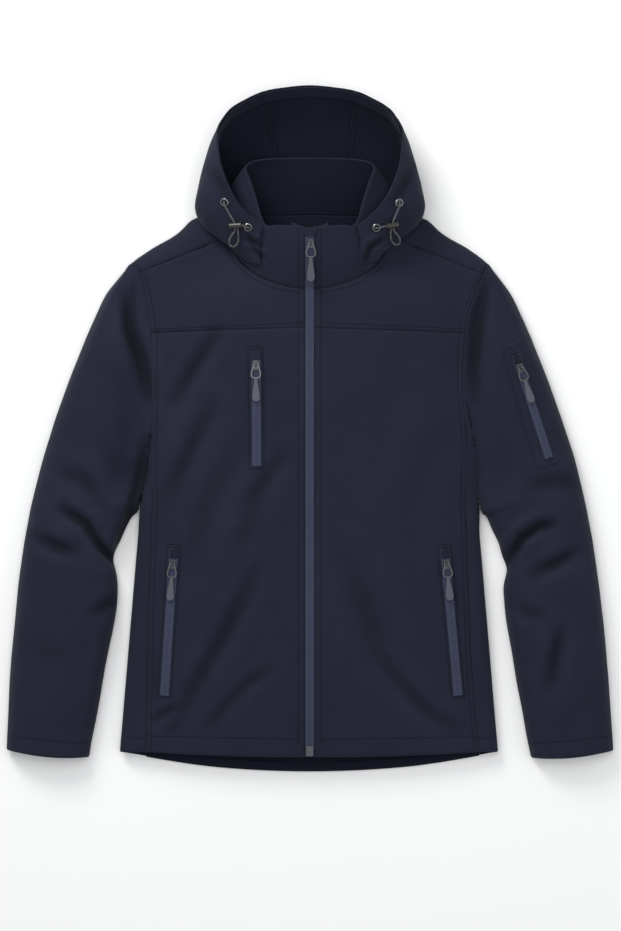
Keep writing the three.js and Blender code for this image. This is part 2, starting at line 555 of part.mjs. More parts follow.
function bodySide(skin, sideName) {
  const side = SIDES[sideName];
  const { sign } = side;
  const { front, back, columns } = armholePoints(side);
  const levels = bodyLevels(side);
  const place = (x, y) => vec(x, y, frontHeight(side, x, y));
  const zipEdge = ZIP_X + sign * ZIP_HALF;

  // Front, between zip and armhole or side seam
  const frontRows = levels.map((level, r) => {
    const outerX = r <= 4 ? front[6 + r].x : sign * lookUp(side.sideSeam, level.outer);
    const row = [];
    for (let c = 0; c <= FRONT_COLUMNS; c += 1) {
      const t = c / FRONT_COLUMNS;
      row.push(place(mix(zipEdge, outerX, t), mix(level.inner, level.outer, level.hem ? t * t : t)));
    }
    if (r <= 4) row[FRONT_COLUMNS] = front[6 + r];
    return row;
  });
  skin.grid(`front_${sideName}`, frontRows, sign > 0);

  // Yoke, between the yoke seam and the neck and shoulder seams
  const neck = NECK_FRONT.map(({ x, y }) => place(ZIP_X + sign * x, y));
  neck[neck.length - 1] = columns[0].top;
  const yokeTop = [...neck, ...columns.slice(1).map((column) => column.top)];
  const yokeRows = [frontRows[0]];
  for (let r = 1; r <= YOKE_ROWS; r += 1) {
    const v = r / YOKE_ROWS;
    const start = vec(zipEdge, mix(side.yokeInnerY, NECK_FRONT[0].y, v), 0);
    const end = front[6 - r];
    const row = yokeTop.map((top, c) => {
      if (r === YOKE_ROWS) return top;
      const u = c / FRONT_COLUMNS;
      const low = frontRows[0][c];
      const ruled = { x: mix(low.x, top.x, v), y: mix(low.y, top.y, v) };
      const firstLow = frontRows[0][0];
      const first = { x: mix(firstLow.x, yokeTop[0].x, v), y: mix(firstLow.y, yokeTop[0].y, v) };
      const lastLow = frontRows[0][FRONT_COLUMNS];
      const last = {
        x: mix(lastLow.x, yokeTop[FRONT_COLUMNS].x, v),
        y: mix(lastLow.y, yokeTop[FRONT_COLUMNS].y, v),
      };
      const x = ruled.x + (1 - u) * (start.x - first.x) + u * (end.x - last.x);
      const y = ruled.y + (1 - u) * (start.y - first.y) + u * (end.y - last.y);
      return place(x, y);
    });
    row[FRONT_COLUMNS] = end;
    yokeRows.push(row);
  }
  skin.grid(`front_yoke_${sideName}`, yokeRows, sign < 0);

  // Side panel, from the front side seam round the fold to the back side seam
  const sideLevels = levels.slice(4);
  const sideFront = [];
  const sideBack = [];
  sideLevels.forEach((level, i) => {
    const seam = frontRows[4 + i][FRONT_COLUMNS];
    const hemBackY = level.hem ? tailY(seam.x) : level.outer;
    const inArmhole = i <= 4;
    const rimFront = inArmhole ? front[10 + i] : vec(sign * edgeX(side, level.outer), level.outer, FOLD_Z);
    const rimBack = inArmhole ? back[10 + i] : rimFront;
    const backSeam = vec(sign * (lookUp(side.sideSeam, level.outer) + 1), hemBackY, 0);
    if (i === 0) backSeam.copy(rimBack);
    sideFront.push(SIDE_SHARES.map((s) => {
      const point = seam.clone().lerp(rimFront, s);
      if (i >= 4) point.z = rimFront.z + (seam.z - rimFront.z) * Math.sqrt(1 - s * s);
      return point;
    }));
    sideBack.push(SIDE_SHARES.map((s) => {
      const point = backSeam.clone().lerp(rimBack, s);
      if (i >= 4) point.z = rimBack.z * (1 - Math.sqrt(1 - s * s));
      return point;
    }));
  });
  skin.grid(`side_panel_${sideName}`, sideFront, sign > 0);
  skin.grid(`side_panel_${sideName}`, sideBack, sign < 0);

  // Back: flat on the surface, then over the shoulder to the forward seam
  const mirrored = ({ x, y, z }) => vec(sign * x, y, z);
  const neckColumns = NECK_BACK.map(mirrored);
  const neckSide = {
    under: mirrored(NECK_SIDE.under), fold: mirrored(NECK_SIDE.fold), over: mirrored(NECK_SIDE.over),
    top: columns[0].top,
  };
  const allColumns = [neckSide, ...columns];
  const tops = [...neckColumns, ...allColumns.map((column) => column.top)];
  const count = tops.length - 1;
  const flatRow = (outer, middleY) => tops.map((_, j) => {
    const y = mix(middleY, outer.y, (j / count) ** 2);
    return vec((outer.x * j) / count, y, outer.z * smooth(j - count + 1));
  });
  const backRows = sideBack.map((row, i) => flatRow(row[0], BACK_MIDDLE_Y[i])).reverse();
  const hemRow = backRows[0];
  hemRow.forEach((point) => { point.y = tailY(point.x); });
  hemRow[count] = sideBack[sideBack.length - 1][0];
  for (let k = 9; k >= 2; k -= 1) backRows.push(flatRow(back[k], backMiddleY(k)));
  const base = backRows[backRows.length - 1];
  const rise = [
    { share: 0.36, name: 'under' }, { share: 0.66, name: 'fold' }, { share: 0.87, name: 'over' },
    { share: 1, name: 'top' },
  ];
  for (const { share, name } of rise) {
    backRows.push(tops.map((top, j) => {
      if (j >= NECK_BACK.length) return allColumns[j - NECK_BACK.length][name];
      const point = base[j].clone().lerp(top, share);
      point.z = top.z * share ** 3;
      return point;
    }));
  }
  const corner = NECK_BACK.length;
  const firstRise = backRows.length - rise.length;
  const neckPart = backRows.map((row, r) => [
    ...row.slice(0, corner), r < firstRise ? row[corner] : neckSide.under,
  ]);
  skin.grid('back', neckPart, sign > 0);
  skin.grid('back', backRows.map((row) => row.slice(corner)), sign > 0);
  const neckBack = [neckSide.over, neckSide.fold, neckSide.under, ...[...neckColumns].reverse()];

  return { front, back, neckSeam: [...neck, ...neckBack] };
}

function backMiddleY(k) {
  if (k >= 6) return mix(BACK_MIDDLE.yoke, BACK_MIDDLE.split, (k - 6) / 4);
  return mix(BACK_MIDDLE.top, BACK_MIDDLE.yoke, (k - 2) / 4);
}

function tailY(x) {
  return TAIL_Y + TAIL_RISE * (x / 256) ** 2;
}

// Sleeve: rings from the shoulder's fold to the cuff, open at the armhole and closed below it
const SLEEVE_POINTS = 16;
const FOLD_STEPS = { over: 9, round: 4.5, flat: 12 };    // mm from a fold to the points next to it

// Shares of a ring's width at which its points lie, above and below
function ringShares(width) {
  const over = Math.min(0.2, FOLD_STEPS.over / width);
  const round = Math.min(0.16, FOLD_STEPS.round / width);
  const flat = Math.min(0.34, FOLD_STEPS.flat / width);
  const above = [0, 0.28, 0.62, 1].map((t) => mix(over, 0.5, t));
  const upper = [0, ...above, mix(0.5, 1 - over, 0.38), mix(0.5, 1 - over, 0.72), 1 - over];
  const below = [0, 0.33, 0.67, 1].map((t) => mix(1 - flat, flat, t));
  return { upper, lower: [1, 1 - round, ...below, round], flat };
}

function sleeve(skin, sideName, { front, back }) {
  const side = SIDES[sideName];
  const rings = [];
  for (let k = 0; k <= ARMHOLE_ROWS; k += 1) {
    const y = mix(side.shoulderFold.y, -62, (k / ARMHOLE_ROWS) ** 1.25);
    const outer = vec(side.sign * lookUp(side.sleeveOuter, y), y, FOLD_Z + 1);
    const height = mix(9, 38, Math.min(1, k / 7) ** 0.6);
    const tip = k ? outer : front[0];
    rings.push({ start: front[k], end: back[k], outer: tip, height, open: k < ARMHOLE_ROWS });
  }
  for (const ring of side.sleeveRings) {
    const inner = vec(side.sign * ring.inX, ring.inY, FOLD_Z);
    const outer = vec(side.sign * lookUp(side.sleeveOuter, ring.outY), ring.outY, FOLD_Z);
    rings.push({ start: inner, end: inner, outer, height: ring.height, open: false });
  }
  const rows = rings.map(({ start, end, outer, height, open }, index) => {
    if (index === 0) return Array(SLEEVE_POINTS).fill(start);
    const shares = ringShares(start.distanceTo(outer));
    const cuffBow = index > rings.length - 4 ? 4 : 0;
    const valley = open ? 5 * smooth((index - 1) / 4) : 0;
    const upper = shares.upper.map((v) => {
      const point = start.clone().lerp(outer, v);
      const arch = Math.sqrt(1 - (2 * v - 1) ** 2) ** 0.8;
      const from = v < 0.5 ? start.z : outer.z;
      point.z = from + (height - from) * (v < 0.5 && open ? smooth(2 * v) : arch);
      point.z -= v > 0 ? foldDepth(point.x, point.y) * arch : 0;
      point.z -= v > 0 && v < 0.4 ? valley * Math.sin((Math.PI * v) / 0.4) : 0;
      point.y -= cuffBow * Math.sin(Math.PI * v);
      return point;
    });
    const lower = shares.lower.map((v) => {
      const point = end.clone().lerp(outer, v);
      const near = Math.max(v - 1 + shares.flat, open ? 0 : shares.flat - v) / shares.flat;
      point.z = v === 1 ? outer.z : 0.38 * FOLD_Z * Math.max(0, near) ** 2;
      point.y -= cuffBow * Math.sin(Math.PI * v);
      return point;
    });
    return [...upper, ...lower, end];
  });
  skin.grid(`sleeve_${sideName}`, rows, side.sign > 0);
}

// Collar: from the neck seam to its top edge, left front round the back to the right front
function collarRows(left, right) {
  const halves = [left, right].map((half, h) => {
    const sign = h ? 1 : -1;
    return half.neckSeam.map((base, c) => {
      const top = COLLAR_TOP[c];
      const lip = vec(sign * top.x + (c < 4 ? ZIP_X : 0), top.y, top.z);
      const steps = [];
      for (let r = 0; r <= 4; r += 1) {
        const point = base.clone().lerp(lip, r / 4);
        const swell = Math.sin((Math.PI * r) / 4);
        point.x += sign * top.swell * swell;
        point.z += c < 6 ? COLLAR_CROWN * swell : 0;
        steps.push(point);
      }
      return steps;
    });
  });
  return [...halves[0], ...halves[1].reverse().slice(1)];
}

// Hood: each section is a smooth curve through its four points
function hoodSection(row, sign) {
  const controls = [row.brim, row.wide, row.turn, row.neck].map(([x, y, z]) => vec(sign * x, y, z));
  const curve = new THREE.CatmullRomCurve3(controls, false, 'centripetal');
  const points = [];
  HOOD_STEPS.forEach((steps, part) => {
    for (let s = 0; s < steps; s += 1) points.push(curve.getPoint((part + s / steps) / 3));
  });
  points.push(controls[3]);
  points.forEach((point) => { point.z = Math.max(0, point.z); });
  return points;
}

function hoodSections() {
  const between = (a, b) => ['brim', 'wide', 'turn', 'neck'].reduce((row, key) => {
    row[key] = a[key].map((n, i) => (n + b[key][i]) / 2);
    return row;
  }, {});
  const half = (sign) => {
    const sections = [];
    HOOD.forEach((row, i) => {
      sections.push(hoodSection(row, sign));
      if (i + 1 < HOOD.length) sections.push(hoodSection(between(row, HOOD[i + 1]), sign));
    });
    return sections;
  };
  return [...half(-1), ...half(1).reverse().slice(1)];
}

// The model
const group = new THREE.Group();

function addMesh(name, geometry, color, roughness, metalness = 0, parent = group) {
  geometry.deleteAttribute('normal');
  geometry.deleteAttribute('uv');
  const welded = mergeVertices(geometry, 1e-3);
  welded.computeVertexNormals();
  const material = new THREE.MeshStandardMaterial({ color, roughness, metalness });
  const mesh = new THREE.Mesh(welded, material);
  mesh.name = name;
  parent.add(mesh);
  return mesh;
}

const body = new Skin();
const halves = { left: bodySide(body, 'left'), right: bodySide(body, 'right') };
sleeve(body, 'left', halves.left);
sleeve(body, 'right', halves.right);
body.grid('collar', collarRows(halves.left, halves.right));
body.finishNormals();
for (const half of Object.values(halves)) body.partNormals(half.front[ARMHOLE_ROWS]);
const BODY_PANELS = [
  'back', 'front_left', 'front_right', 'front_yoke_left', 'front_yoke_right',
  'side_panel_left', 'side_panel_right', 'sleeve_left', 'sleeve_right', 'collar',
];
for (const panel of BODY_PANELS) addMesh(panel, body.wall(panel), NAVY, 0.85);

const hood = new Skin();
const sections = hoodSections();
const seamSection = 2 * HOOD_SEAM_ROW;
const lastSection = sections.length - 1;
hood.grid('hood_left', sections.slice(0, seamSection + 1), true);
hood.grid('hood_centre', sections.slice(seamSection, lastSection - seamSection + 1), true);
hood.grid('hood_right', sections.slice(lastSection - seamSection), true);
hood.finishNormals();
const HOOD_PANELS = ['hood_left', 'hood_centre', 'hood_right'];
for (const panel of HOOD_PANELS) addMesh(panel, hood.wall(panel), NAVY, 0.85);

// What is sewn on a panel follows the panel's own faces
const top = {
  chest: body.outerTriangles(['front_left']),
  hand_left: body.outerTriangles(['front_left']),
  hand_right: body.outerTriangles(['front_right']),
  collar: body.outerTriangles(['collar']),
  sleeve: body.outerTriangles(['sleeve_right']),
  hood: hood.outerTriangles(HOOD_PANELS),
};

function overlay(name, places, surface, thickness, color, roughness, parent = group) {
  const lower = places.map((row) => row.map(({ x, y }) => vec(x, y, heightOver(surface, x, y) + LIFT)));
  const upper = lower.map((row) => row.map((point) => vec(point.x, point.y, point.z + thickness)));
  addMesh(name, slab(lower, upper), color, roughness, 0, parent);
  const faces = [];
  for (let r = 0; r + 1 < upper.length; r += 1) {
    for (let c = 0; c + 1 < upper[r].length; c += 1) {
      faces.push([upper[r][c], upper[r][c + 1], upper[r + 1][c + 1]]);
      faces.push([upper[r][c], upper[r + 1][c + 1], upper[r + 1][c]]);
    }
  }
  return faces;
}

function stripPlaces({ x0, y0, x1, y1, half }, pitch = 9) {
  const length = Math.hypot(x1 - x0, y1 - y0);
  const side = { x: -(y1 - y0) / length, y: (x1 - x0) / length };
  const rows = Math.round(length / pitch);
  return Array.from({ length: rows + 1 }, (_, r) => [-half, 0, half].map((offset) => ({
    x: mix(x0, x1, r / rows) + side.x * offset,
    y: mix(y0, y1, r / rows) + side.y * offset,
  })));
}

// Sleeve pocket: a patch from its inner edge to just short of the sleeve's fold
function patchPlaces() {
  const rows = 12;
  const columns = 7;
  return Array.from({ length: rows + 1 }, (_, r) => {
    const t = r / rows;
    const inner = { x: mix(PATCH.top.x, PATCH.bottom.x, t), y: mix(PATCH.top.y, PATCH.bottom.y, t) };
    inner.x += PATCH.corner * (Math.max(0, t - 0.9) / 0.1 + Math.max(0, 0.08 - t) / 0.08) / 2;
    const outerY = mix(PATCH.top.outerY, PATCH.bottom.outerY, t);
    const outer = { x: lookUp(SIDES.right.sleeveOuter, outerY) - PATCH.inset, y: outerY };
    return Array.from({ length: columns + 1 }, (__, c) => ({
      x: mix(inner.x, outer.x, c / columns), y: mix(inner.y, outer.y, c / columns),
    }));
  });
}
top.sleeve = overlay('sleeve_pocket_patch', patchPlaces(), top.sleeve, PATCH.thickness, NAVY, 0.85);

const zipTops = {};
for (const [name, zip] of Object.entries(ZIPS)) {
  zipTops[name] = overlay(`${name}_zip_tape`, stripPlaces(zip), top[name], TAPE, TAPE_BLUE, 0.75);
}

// Main zip: its tape fills the space between the two fronts, from hem to collar
function middleHeight(y) {
  if (y < NECK_FRONT[0].y) return frontHeight(SIDES.left, 0, y);
  const t = (y - NECK_FRONT[0].y) / (COLLAR_TOP[0].y - NECK_FRONT[0].y);
  const foot = frontHeight(SIDES.left, 0, NECK_FRONT[0].y);
  return mix(foot, COLLAR_TOP[0].z, t) + COLLAR_CROWN * Math.sin(Math.PI * t);
}

function mainTape() {
  const levels = [];
  for (let i = 0; i <= 26; i += 1) levels.push(mix(HEM_FRONT_Y + 1, NECK_FRONT[0].y, i / 26));
  for (let i = 1; i <= 6; i += 1) levels.push(mix(NECK_FRONT[0].y, COLLAR_TOP[0].y - 1, i / 6));
  const half = ZIP_HALF - LIFT;
  const at = (drop) => levels.map((y) => [-half, half].map((x) => vec(ZIP_X + x, y, middleHeight(y) - drop)));
  const [lower, upper] = [at(MAIN_TAPE.sunk + MAIN_TAPE.thickness), at(MAIN_TAPE.sunk)];
  addMesh('main_zip_tape', slab(lower, upper), TAPE_BLUE, 0.75);
}
mainTape();

const garageTop = [...top.collar];
for (const y of [GARAGE.bottom - 2, GARAGE.top]) {
  const z = middleHeight(y);
  garageTop.push([vec(ZIP_X - 7, y, z), vec(ZIP_X + 7, y, z), vec(ZIP_X, mix(y, 262, 2), middleHeight(262))]);
}

// A piece cut or joined with others
function solidOf(geometry) {
  geometry.deleteAttribute('normal');
  geometry.deleteAttribute('uv');
  const welded = mergeVertices(geometry, 1e-4);
  return new wasm.Manifold(new wasm.Mesh({
    numProp: 3,
    vertProperties: Float32Array.from(welded.attributes.position.array),
    triVerts: Uint32Array.from(welded.index.array),
  }));
}

function geometryOf(solid) {
  const { vertProperties, triVerts } = solid.getMesh();
  const geometry = new THREE.BufferGeometry();
  geometry.setAttribute('position', new THREE.BufferAttribute(vertProperties, 3));
  geometry.setIndex(new THREE.BufferAttribute(triVerts, 1));
  return geometry;
}

function plate(outline, depth, z) {
  const shape = new THREE.Shape(outline.map(([x, y]) => new THREE.Vector2(x, y)));
  return new THREE.ExtrudeGeometry(shape, { depth, bevelEnabled: false }).translate(0, 0, z);
}

const mirrorOutline = (half) => [...half, ...half.map(([x, y]) => [-x, y]).reverse()];

// Slider: a shield-shaped plate with an arch that holds the pull's bar
function sliderGeometry() {
  const { half, front, tail } = SLIDER;
  const shield = mirrorOutline([[half * 0.75, front], [half, front - 2], [half, -2], [half * 0.7, -tail]]);
  const base = solidOf(plate(shield, SLIDER.plate, SLIDER.gap));
  const arch = new THREE.Shape();
  const { archOuter, archInner, archRise } = SLIDER;
  arch.moveTo(-archOuter, -0.5);
  arch.lineTo(-archOuter, archRise - 0.8);
  arch.lineTo(-archOuter + 0.8, archRise);
  arch.lineTo(archOuter - 0.8, archRise);
  arch.lineTo(archOuter, archRise - 0.8);
  arch.lineTo(archOuter, -0.5);
  arch.lineTo(archInner, -0.5);
  arch.lineTo(archInner, HINGE_RISE + LINK.bar + SLIDER.clear);
  arch.lineTo(-archInner, HINGE_RISE + LINK.bar + SLIDER.clear);
  arch.lineTo(-archInner, -0.5);
  const bridge = new THREE.ExtrudeGeometry(arch, { depth: SLIDER.archWidth, bevelEnabled: false });
  bridge.translate(0, 0, -SLIDER.archWidth / 2).rotateX(Math.PI / 2).rotateZ(Math.PI / 2);
  bridge.translate(0, 0, SLIDER.gap + SLIDER.plate);
  return geometryOf(base.add(solidOf(bridge)));
}

// Pull's metal link: a keyhole frame that turns on a round bar
function linkGeometry() {
  const { length, topHalf, wideHalf, rim, thickness, bar } = LINK;
  const outline = (inset, endInset) => mirrorOutline([
    [topHalf - inset, bar - endInset], [wideHalf - inset, -length * 0.68],
    [wideHalf * 0.88 - inset, -length * 0.88 + inset / 2], [wideHalf * 0.42, -length + endInset],
  ]);
  const frame = solidOf(plate(outline(0, 0), thickness, -thickness / 2));
  const hole = solidOf(plate(outline(rim, rim), thickness + 1, -thickness / 2 - 0.5));
  const notch = solidOf(new THREE.BoxGeometry(2 * (topHalf - rim) + 0.2, 4, 4).translate(0, 0.8, 0));
  const round = new THREE.CylinderGeometry(bar, bar, 2 * topHalf - 1, 10).rotateZ(Math.PI / 2);
  return geometryOf(frame.subtract(hole).subtract(notch).add(solidOf(round)));
}

// Pull's rubber grip: a teardrop
function gripGeometry(length) {
  const start = -LINK.length - SLIDER.clear;
  const half = [[GRIP.neckHalf * 0.8, start], [GRIP.neckHalf, start - 1.5], [GRIP.neckHalf, start - 5]];
  const widest = start - length + GRIP.wideHalf;
  half.push([GRIP.wideHalf * 0.82, mix(start, widest, 0.62)]);
  for (let i = 0; i <= 4; i += 1) {
    const angle = (Math.PI / 2) * (i / 4.6);
    half.push([GRIP.wideHalf * Math.cos(angle), widest - GRIP.wideHalf * Math.sin(angle)]);
  }
  const shape = new THREE.Shape(mirrorOutline(half).map(([x, y]) => new THREE.Vector2(x, y)));
  const bevel = 0.7;
  return new THREE.ExtrudeGeometry(shape, {
    depth: GRIP.thickness - 2 * bevel, bevelEnabled: true, bevelSegments: 1,
    bevelThickness: bevel, bevelSize: bevel, bevelOffset: -bevel,
  }).translate(0, 0, -GRIP.thickness / 2 + bevel);
}

// One zip's slider and pull, in a group whose Y axis runs up the zip
function zipPull(name, place, gripLength) {
  const holder = new THREE.Group();
  const foot = place(0, 0);
  const up = place(0, -8).sub(place(0, 14)).normalize();
  const normal = place(4, 0).sub(place(-4, 0)).cross(up).normalize();
  const across = up.clone().cross(normal).normalize();
  holder.position.copy(foot);
  holder.quaternion.setFromRotationMatrix(new THREE.Matrix4().makeBasis(across, up, normal));
  group.add(holder);
  addMesh(`${name}_slider`, sliderGeometry(), METAL, 0.35, 0.9, holder);
  const pull = new THREE.Group();
  pull.position.z = SLIDER.gap + SLIDER.plate + HINGE_RISE;
  holder.add(pull);
  addMesh(`${name}_pull_link`, linkGeometry(), METAL, 0.35, 0.9, pull);
  addMesh(`${name}_pull_grip`, gripGeometry(gripLength), RUBBER, 0.6, 0, pull);
}

zipPull('main', (side, down) => {
  const y = MAIN_HINGE_Y - down;
  return vec(ZIP_X + MAIN_SLIDER_SHIFT + side, y, middleHeight(y) - MAIN_TAPE.sunk);
}, GRIP_LENGTH.main);
for (const [name, zip] of Object.entries(ZIPS)) {
  const length = Math.hypot(zip.x1 - zip.x0, zip.y1 - zip.y0);
  const [dx, dy] = [(zip.x1 - zip.x0) / length, (zip.y1 - zip.y0) / length];
  zipPull(`${name}_zip`, (side, down) => {
    const x = zip.x0 + dx * (zip.hinge + down) - dy * side;
    const y = zip.y0 + dy * (zip.hinge + down) + dx * side;
    return vec(x, y, heightOver(zipTops[name], x, y));
  }, GRIP_LENGTH.other);
}

// Garages: small flaps over the upper ends of the main and the chest zip
overlay('main_zip_garage', [0, 0.5, 1].map((t) => [-1, 0, 1].map((side) => ({
  x: ZIP_X + side * mix(GARAGE.topHalf, GARAGE.lowHalf, t), y: mix(GARAGE.top, GARAGE.bottom, t),
}))), garageTop, GARAGE.thickness, NAVY, 0.85);
const chest = ZIPS.chest;
overlay('chest_zip_garage', [0, 0.5, 1].map((t) => [-1, 0, 1].map((side) => ({
  x: chest.x0 + side * (chest.half - 0.6), y: chest.y0 - 1 - t * GARAGE.chestLength,
}))), zipTops.chest, GARAGE.thickness, NAVY, 0.85);

// Bottom box of the main zip
const boxY = (BOX.top + BOX.bottom) / 2;
const boxShape = new THREE.BoxGeometry(2 * BOX.half, BOX.top - BOX.bottom, BOX.height);
const boxSlope = Math.atan2(middleHeight(BOX.top) - middleHeight(BOX.bottom), BOX.top - BOX.bottom);
const box = addMesh('main_zip_box', boxShape, METAL, 0.4, 0.8);
box.position.set(ZIP_X, boxY, middleHeight(boxY) - MAIN_TAPE.sunk + BOX.height / 2 + LIFT);
box.rotation.x = boxSlope;

// Facing inside the hood's brim
function facing() {
  const rows = sections.slice(2 * FACING.firstSection, lastSection - 2 * FACING.firstSection + 1);
  const at = (depth) => rows.map((row) => row.slice(0, FACING.rings + 1).map((point) => {
    const normal = hood.normals[hood.add(point)];
    return point.clone().addScaledVector(normal, -depth);
  }));
  const under = WALL + FACING.lift;
  addMesh('hood_brim_facing', slab(at(under), at(under + FACING.thickness)), NAVY_DARK, 0.85);
}
facing();

// Where a small fitting sits on the hood, and which way the cloth faces there
function hoodPlace(x, y, lift) {
  const point = vec(x, y, heightOver(top.hood, x, y));
  const reach = 6;
  const over = (dx, dy) => vec(x + dx, y + dy, heightOver(top.hood, x + dx, y + dy));
  const normal = over(reach, 0).sub(over(-reach, 0)).cross(over(0, reach).sub(over(0, -reach))).normalize();
  return { point: point.addScaledVector(normal, lift), normal };
}

const ringProfile = [
  [EYELET.inner, 0], [EYELET.outer, 0], [EYELET.outer, EYELET.height * 0.4],
  [EYELET.outer - 1.2, EYELET.height], [EYELET.inner + 0.5, EYELET.height], [EYELET.inner, 0],
].map(([x, y]) => new THREE.Vector2(x, y));
for (const { name, x, y } of EYELETS) {
  const { point, normal } = hoodPlace(x, y, EYELET.lift);
  const ring = addMesh(`eyelet_${name}`, new THREE.LatheGeometry(ringProfile, 24), METAL, 0.4, 0.9);
  ring.position.copy(point);
  ring.quaternion.setFromUnitVectors(vec(0, 1, 0), normal);
}

// Cord locks: a barrel with a slot across it for both strands, and a bore to its end for one
function lockGeometry() {
  const barrel = new THREE.CylinderGeometry(LOCK.radius, LOCK.radius, LOCK.length, 20).rotateZ(Math.PI / 2);
  const { from, to, height } = LOCK.slot;
  const slot = new THREE.BoxGeometry(to - from, 3 * LOCK.radius, height).translate((from + to) / 2, 0, 0);
  const bore = new THREE.CylinderGeometry(LOCK.bore, LOCK.bore, LOCK.length, 12).rotateZ(Math.PI / 2);
  bore.translate(LOCK.length / 2, 0, 0);
  return geometryOf(solidOf(barrel).subtract(solidOf(slot)).subtract(solidOf(bore)));
}
for (const [side, { centre, along, up }] of Object.entries(LOCKS)) {
  const lock = addMesh(`cord_lock_${side}`, lockGeometry(), METAL, 0.35, 0.9);
  const z = vec(...up);
  const x = vec(...along);
  x.addScaledVector(z, -x.dot(z)).normalize();
  lock.position.set(...centre);
  lock.quaternion.setFromRotationMatrix(new THREE.Matrix4().makeBasis(x, z.clone().cross(x), z));
}

// Drawcords
for (const [side, route] of Object.entries(CORD_ROUTES)) {
  const round = new THREE.Shape(Array.from({ length: CORD.sides }, (_, i) => {
    const angle = (2 * Math.PI * i) / CORD.sides;
    return new THREE.Vector2(CORD.radius * Math.cos(angle), CORD.radius * Math.sin(angle));
  }));
  const path = new THREE.CatmullRomCurve3(route.map((point) => vec(...point)), false, 'centripetal');
  const cord = new THREE.ExtrudeGeometry(round, { steps: CORD.steps, extrudePath: path });
  addMesh(`drawcord_${side}`, cord, CORD_GREY, 0.9);
}

// Hanger loop: a tape across the back of the neck, inside
const backFaces = body.outerTriangles(['back']);
const hangerGrid = (lift) => Array.from({ length: HANGER.rows + 1 }, (_, r) => {
  const t = (2 * r) / HANGER.rows - 1;
  return [-1, 0, 1].map((side) => {
    const x = HANGER.reach * t;
    const y = HANGER.y - HANGER.dip * (1 - t * t) + side * HANGER.half;
    return vec(x, y, heightOver(backFaces, x, y) + WALL + HANGER.rise + lift);
  });
});
addMesh('hanger_loop', slab(hangerGrid(0), hangerGrid(HANGER.thickness)), NAVY, 0.8);

export default group;
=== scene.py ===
# %% [markdown]
# A hooded softshell rain jacket, laid flat on its back.
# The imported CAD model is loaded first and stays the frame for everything: it says where each
# sewn piece, zip and fitting lies.  The cells below give each piece its real surface.
# All positions in tables are millimetres; Blender works in metres.

# %% Load the frame
import math

import bmesh
import bpy
import numpy as np
from mathutils import Matrix, Vector, noise
from mathutils.bvhtree import BVHTree


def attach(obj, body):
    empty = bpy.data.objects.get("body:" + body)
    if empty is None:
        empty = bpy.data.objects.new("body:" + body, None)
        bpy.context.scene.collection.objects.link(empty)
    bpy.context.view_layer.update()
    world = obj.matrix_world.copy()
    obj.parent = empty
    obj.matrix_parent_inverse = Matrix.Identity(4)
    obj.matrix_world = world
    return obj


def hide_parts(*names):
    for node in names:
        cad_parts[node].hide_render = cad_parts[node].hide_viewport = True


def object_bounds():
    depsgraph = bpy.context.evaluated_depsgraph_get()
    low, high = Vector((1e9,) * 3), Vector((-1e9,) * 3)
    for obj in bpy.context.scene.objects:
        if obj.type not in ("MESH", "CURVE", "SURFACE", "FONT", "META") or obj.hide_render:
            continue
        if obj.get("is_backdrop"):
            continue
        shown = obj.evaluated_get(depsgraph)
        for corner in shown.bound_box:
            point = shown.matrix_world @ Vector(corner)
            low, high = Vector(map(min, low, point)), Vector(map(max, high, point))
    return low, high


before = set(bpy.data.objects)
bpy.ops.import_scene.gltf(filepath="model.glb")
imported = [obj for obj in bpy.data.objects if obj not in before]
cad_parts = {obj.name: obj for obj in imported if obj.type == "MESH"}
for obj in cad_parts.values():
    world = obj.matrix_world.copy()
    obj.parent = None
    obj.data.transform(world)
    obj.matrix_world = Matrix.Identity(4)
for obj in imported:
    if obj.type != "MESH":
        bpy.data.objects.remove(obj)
cad_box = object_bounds()
MM = 0.001
PIXEL = 1.35                     # mm on the cloth for one pixel of the picture's frame
MIDDLE = (310, 428)              # the pixel that lies over the origin


def at_pixel(x, y):
    """Place on the surface, in mm, that lies under a pixel of the 621 x 931 frame."""
    return ((x - MIDDLE[0]) * PIXEL, (MIDDLE[1] - y) * PIXEL)


print("CAD box", [[round(n, 4) for n in corner] for corner in cad_box])

# %% [markdown]
# The camera looks straight down, as over a table.  A long lens from far away keeps the raised
# hood from growing over the flat hem.  One pixel is 1.35 mm, so the long side shows 1257 mm.

# %% Camera
CAMERA_HEIGHT = 5.0
CLOTH_HEIGHT = 0.035
FRAME_PIXELS = (621, 931)
centre = at_pixel(FRAME_PIXELS[0] / 2, FRAME_PIXELS[1] / 2)
camera_data = bpy.data.cameras.new("camera")
camera_data.sensor_width = 36
camera_data.lens = 36 * (CAMERA_HEIGHT - CLOTH_HEIGHT) / (FRAME_PIXELS[1] * PIXEL * MM)
camera_data.clip_end = 20
camera = bpy.data.objects.new("camera", camera_data)
camera.location = (centre[0] * MM, centre[1] * MM, CAMERA_HEIGHT)
bpy.context.scene.collection.objects.link(camera)
bpy.context.scene.camera = camera
print("lens", round(camera_data.lens, 1), "mm")

# %% [markdown]
# Each hood drawcord is a thin elastic cord.  It comes out of the upper eyelet, runs through the
# barrel lock, makes a loop that hangs below it, and goes back through the lock to the lower
# eyelet.  A curve with a round bevel would do; it is turned into a mesh here, so that the
# braid can follow the cord by its own UV map.

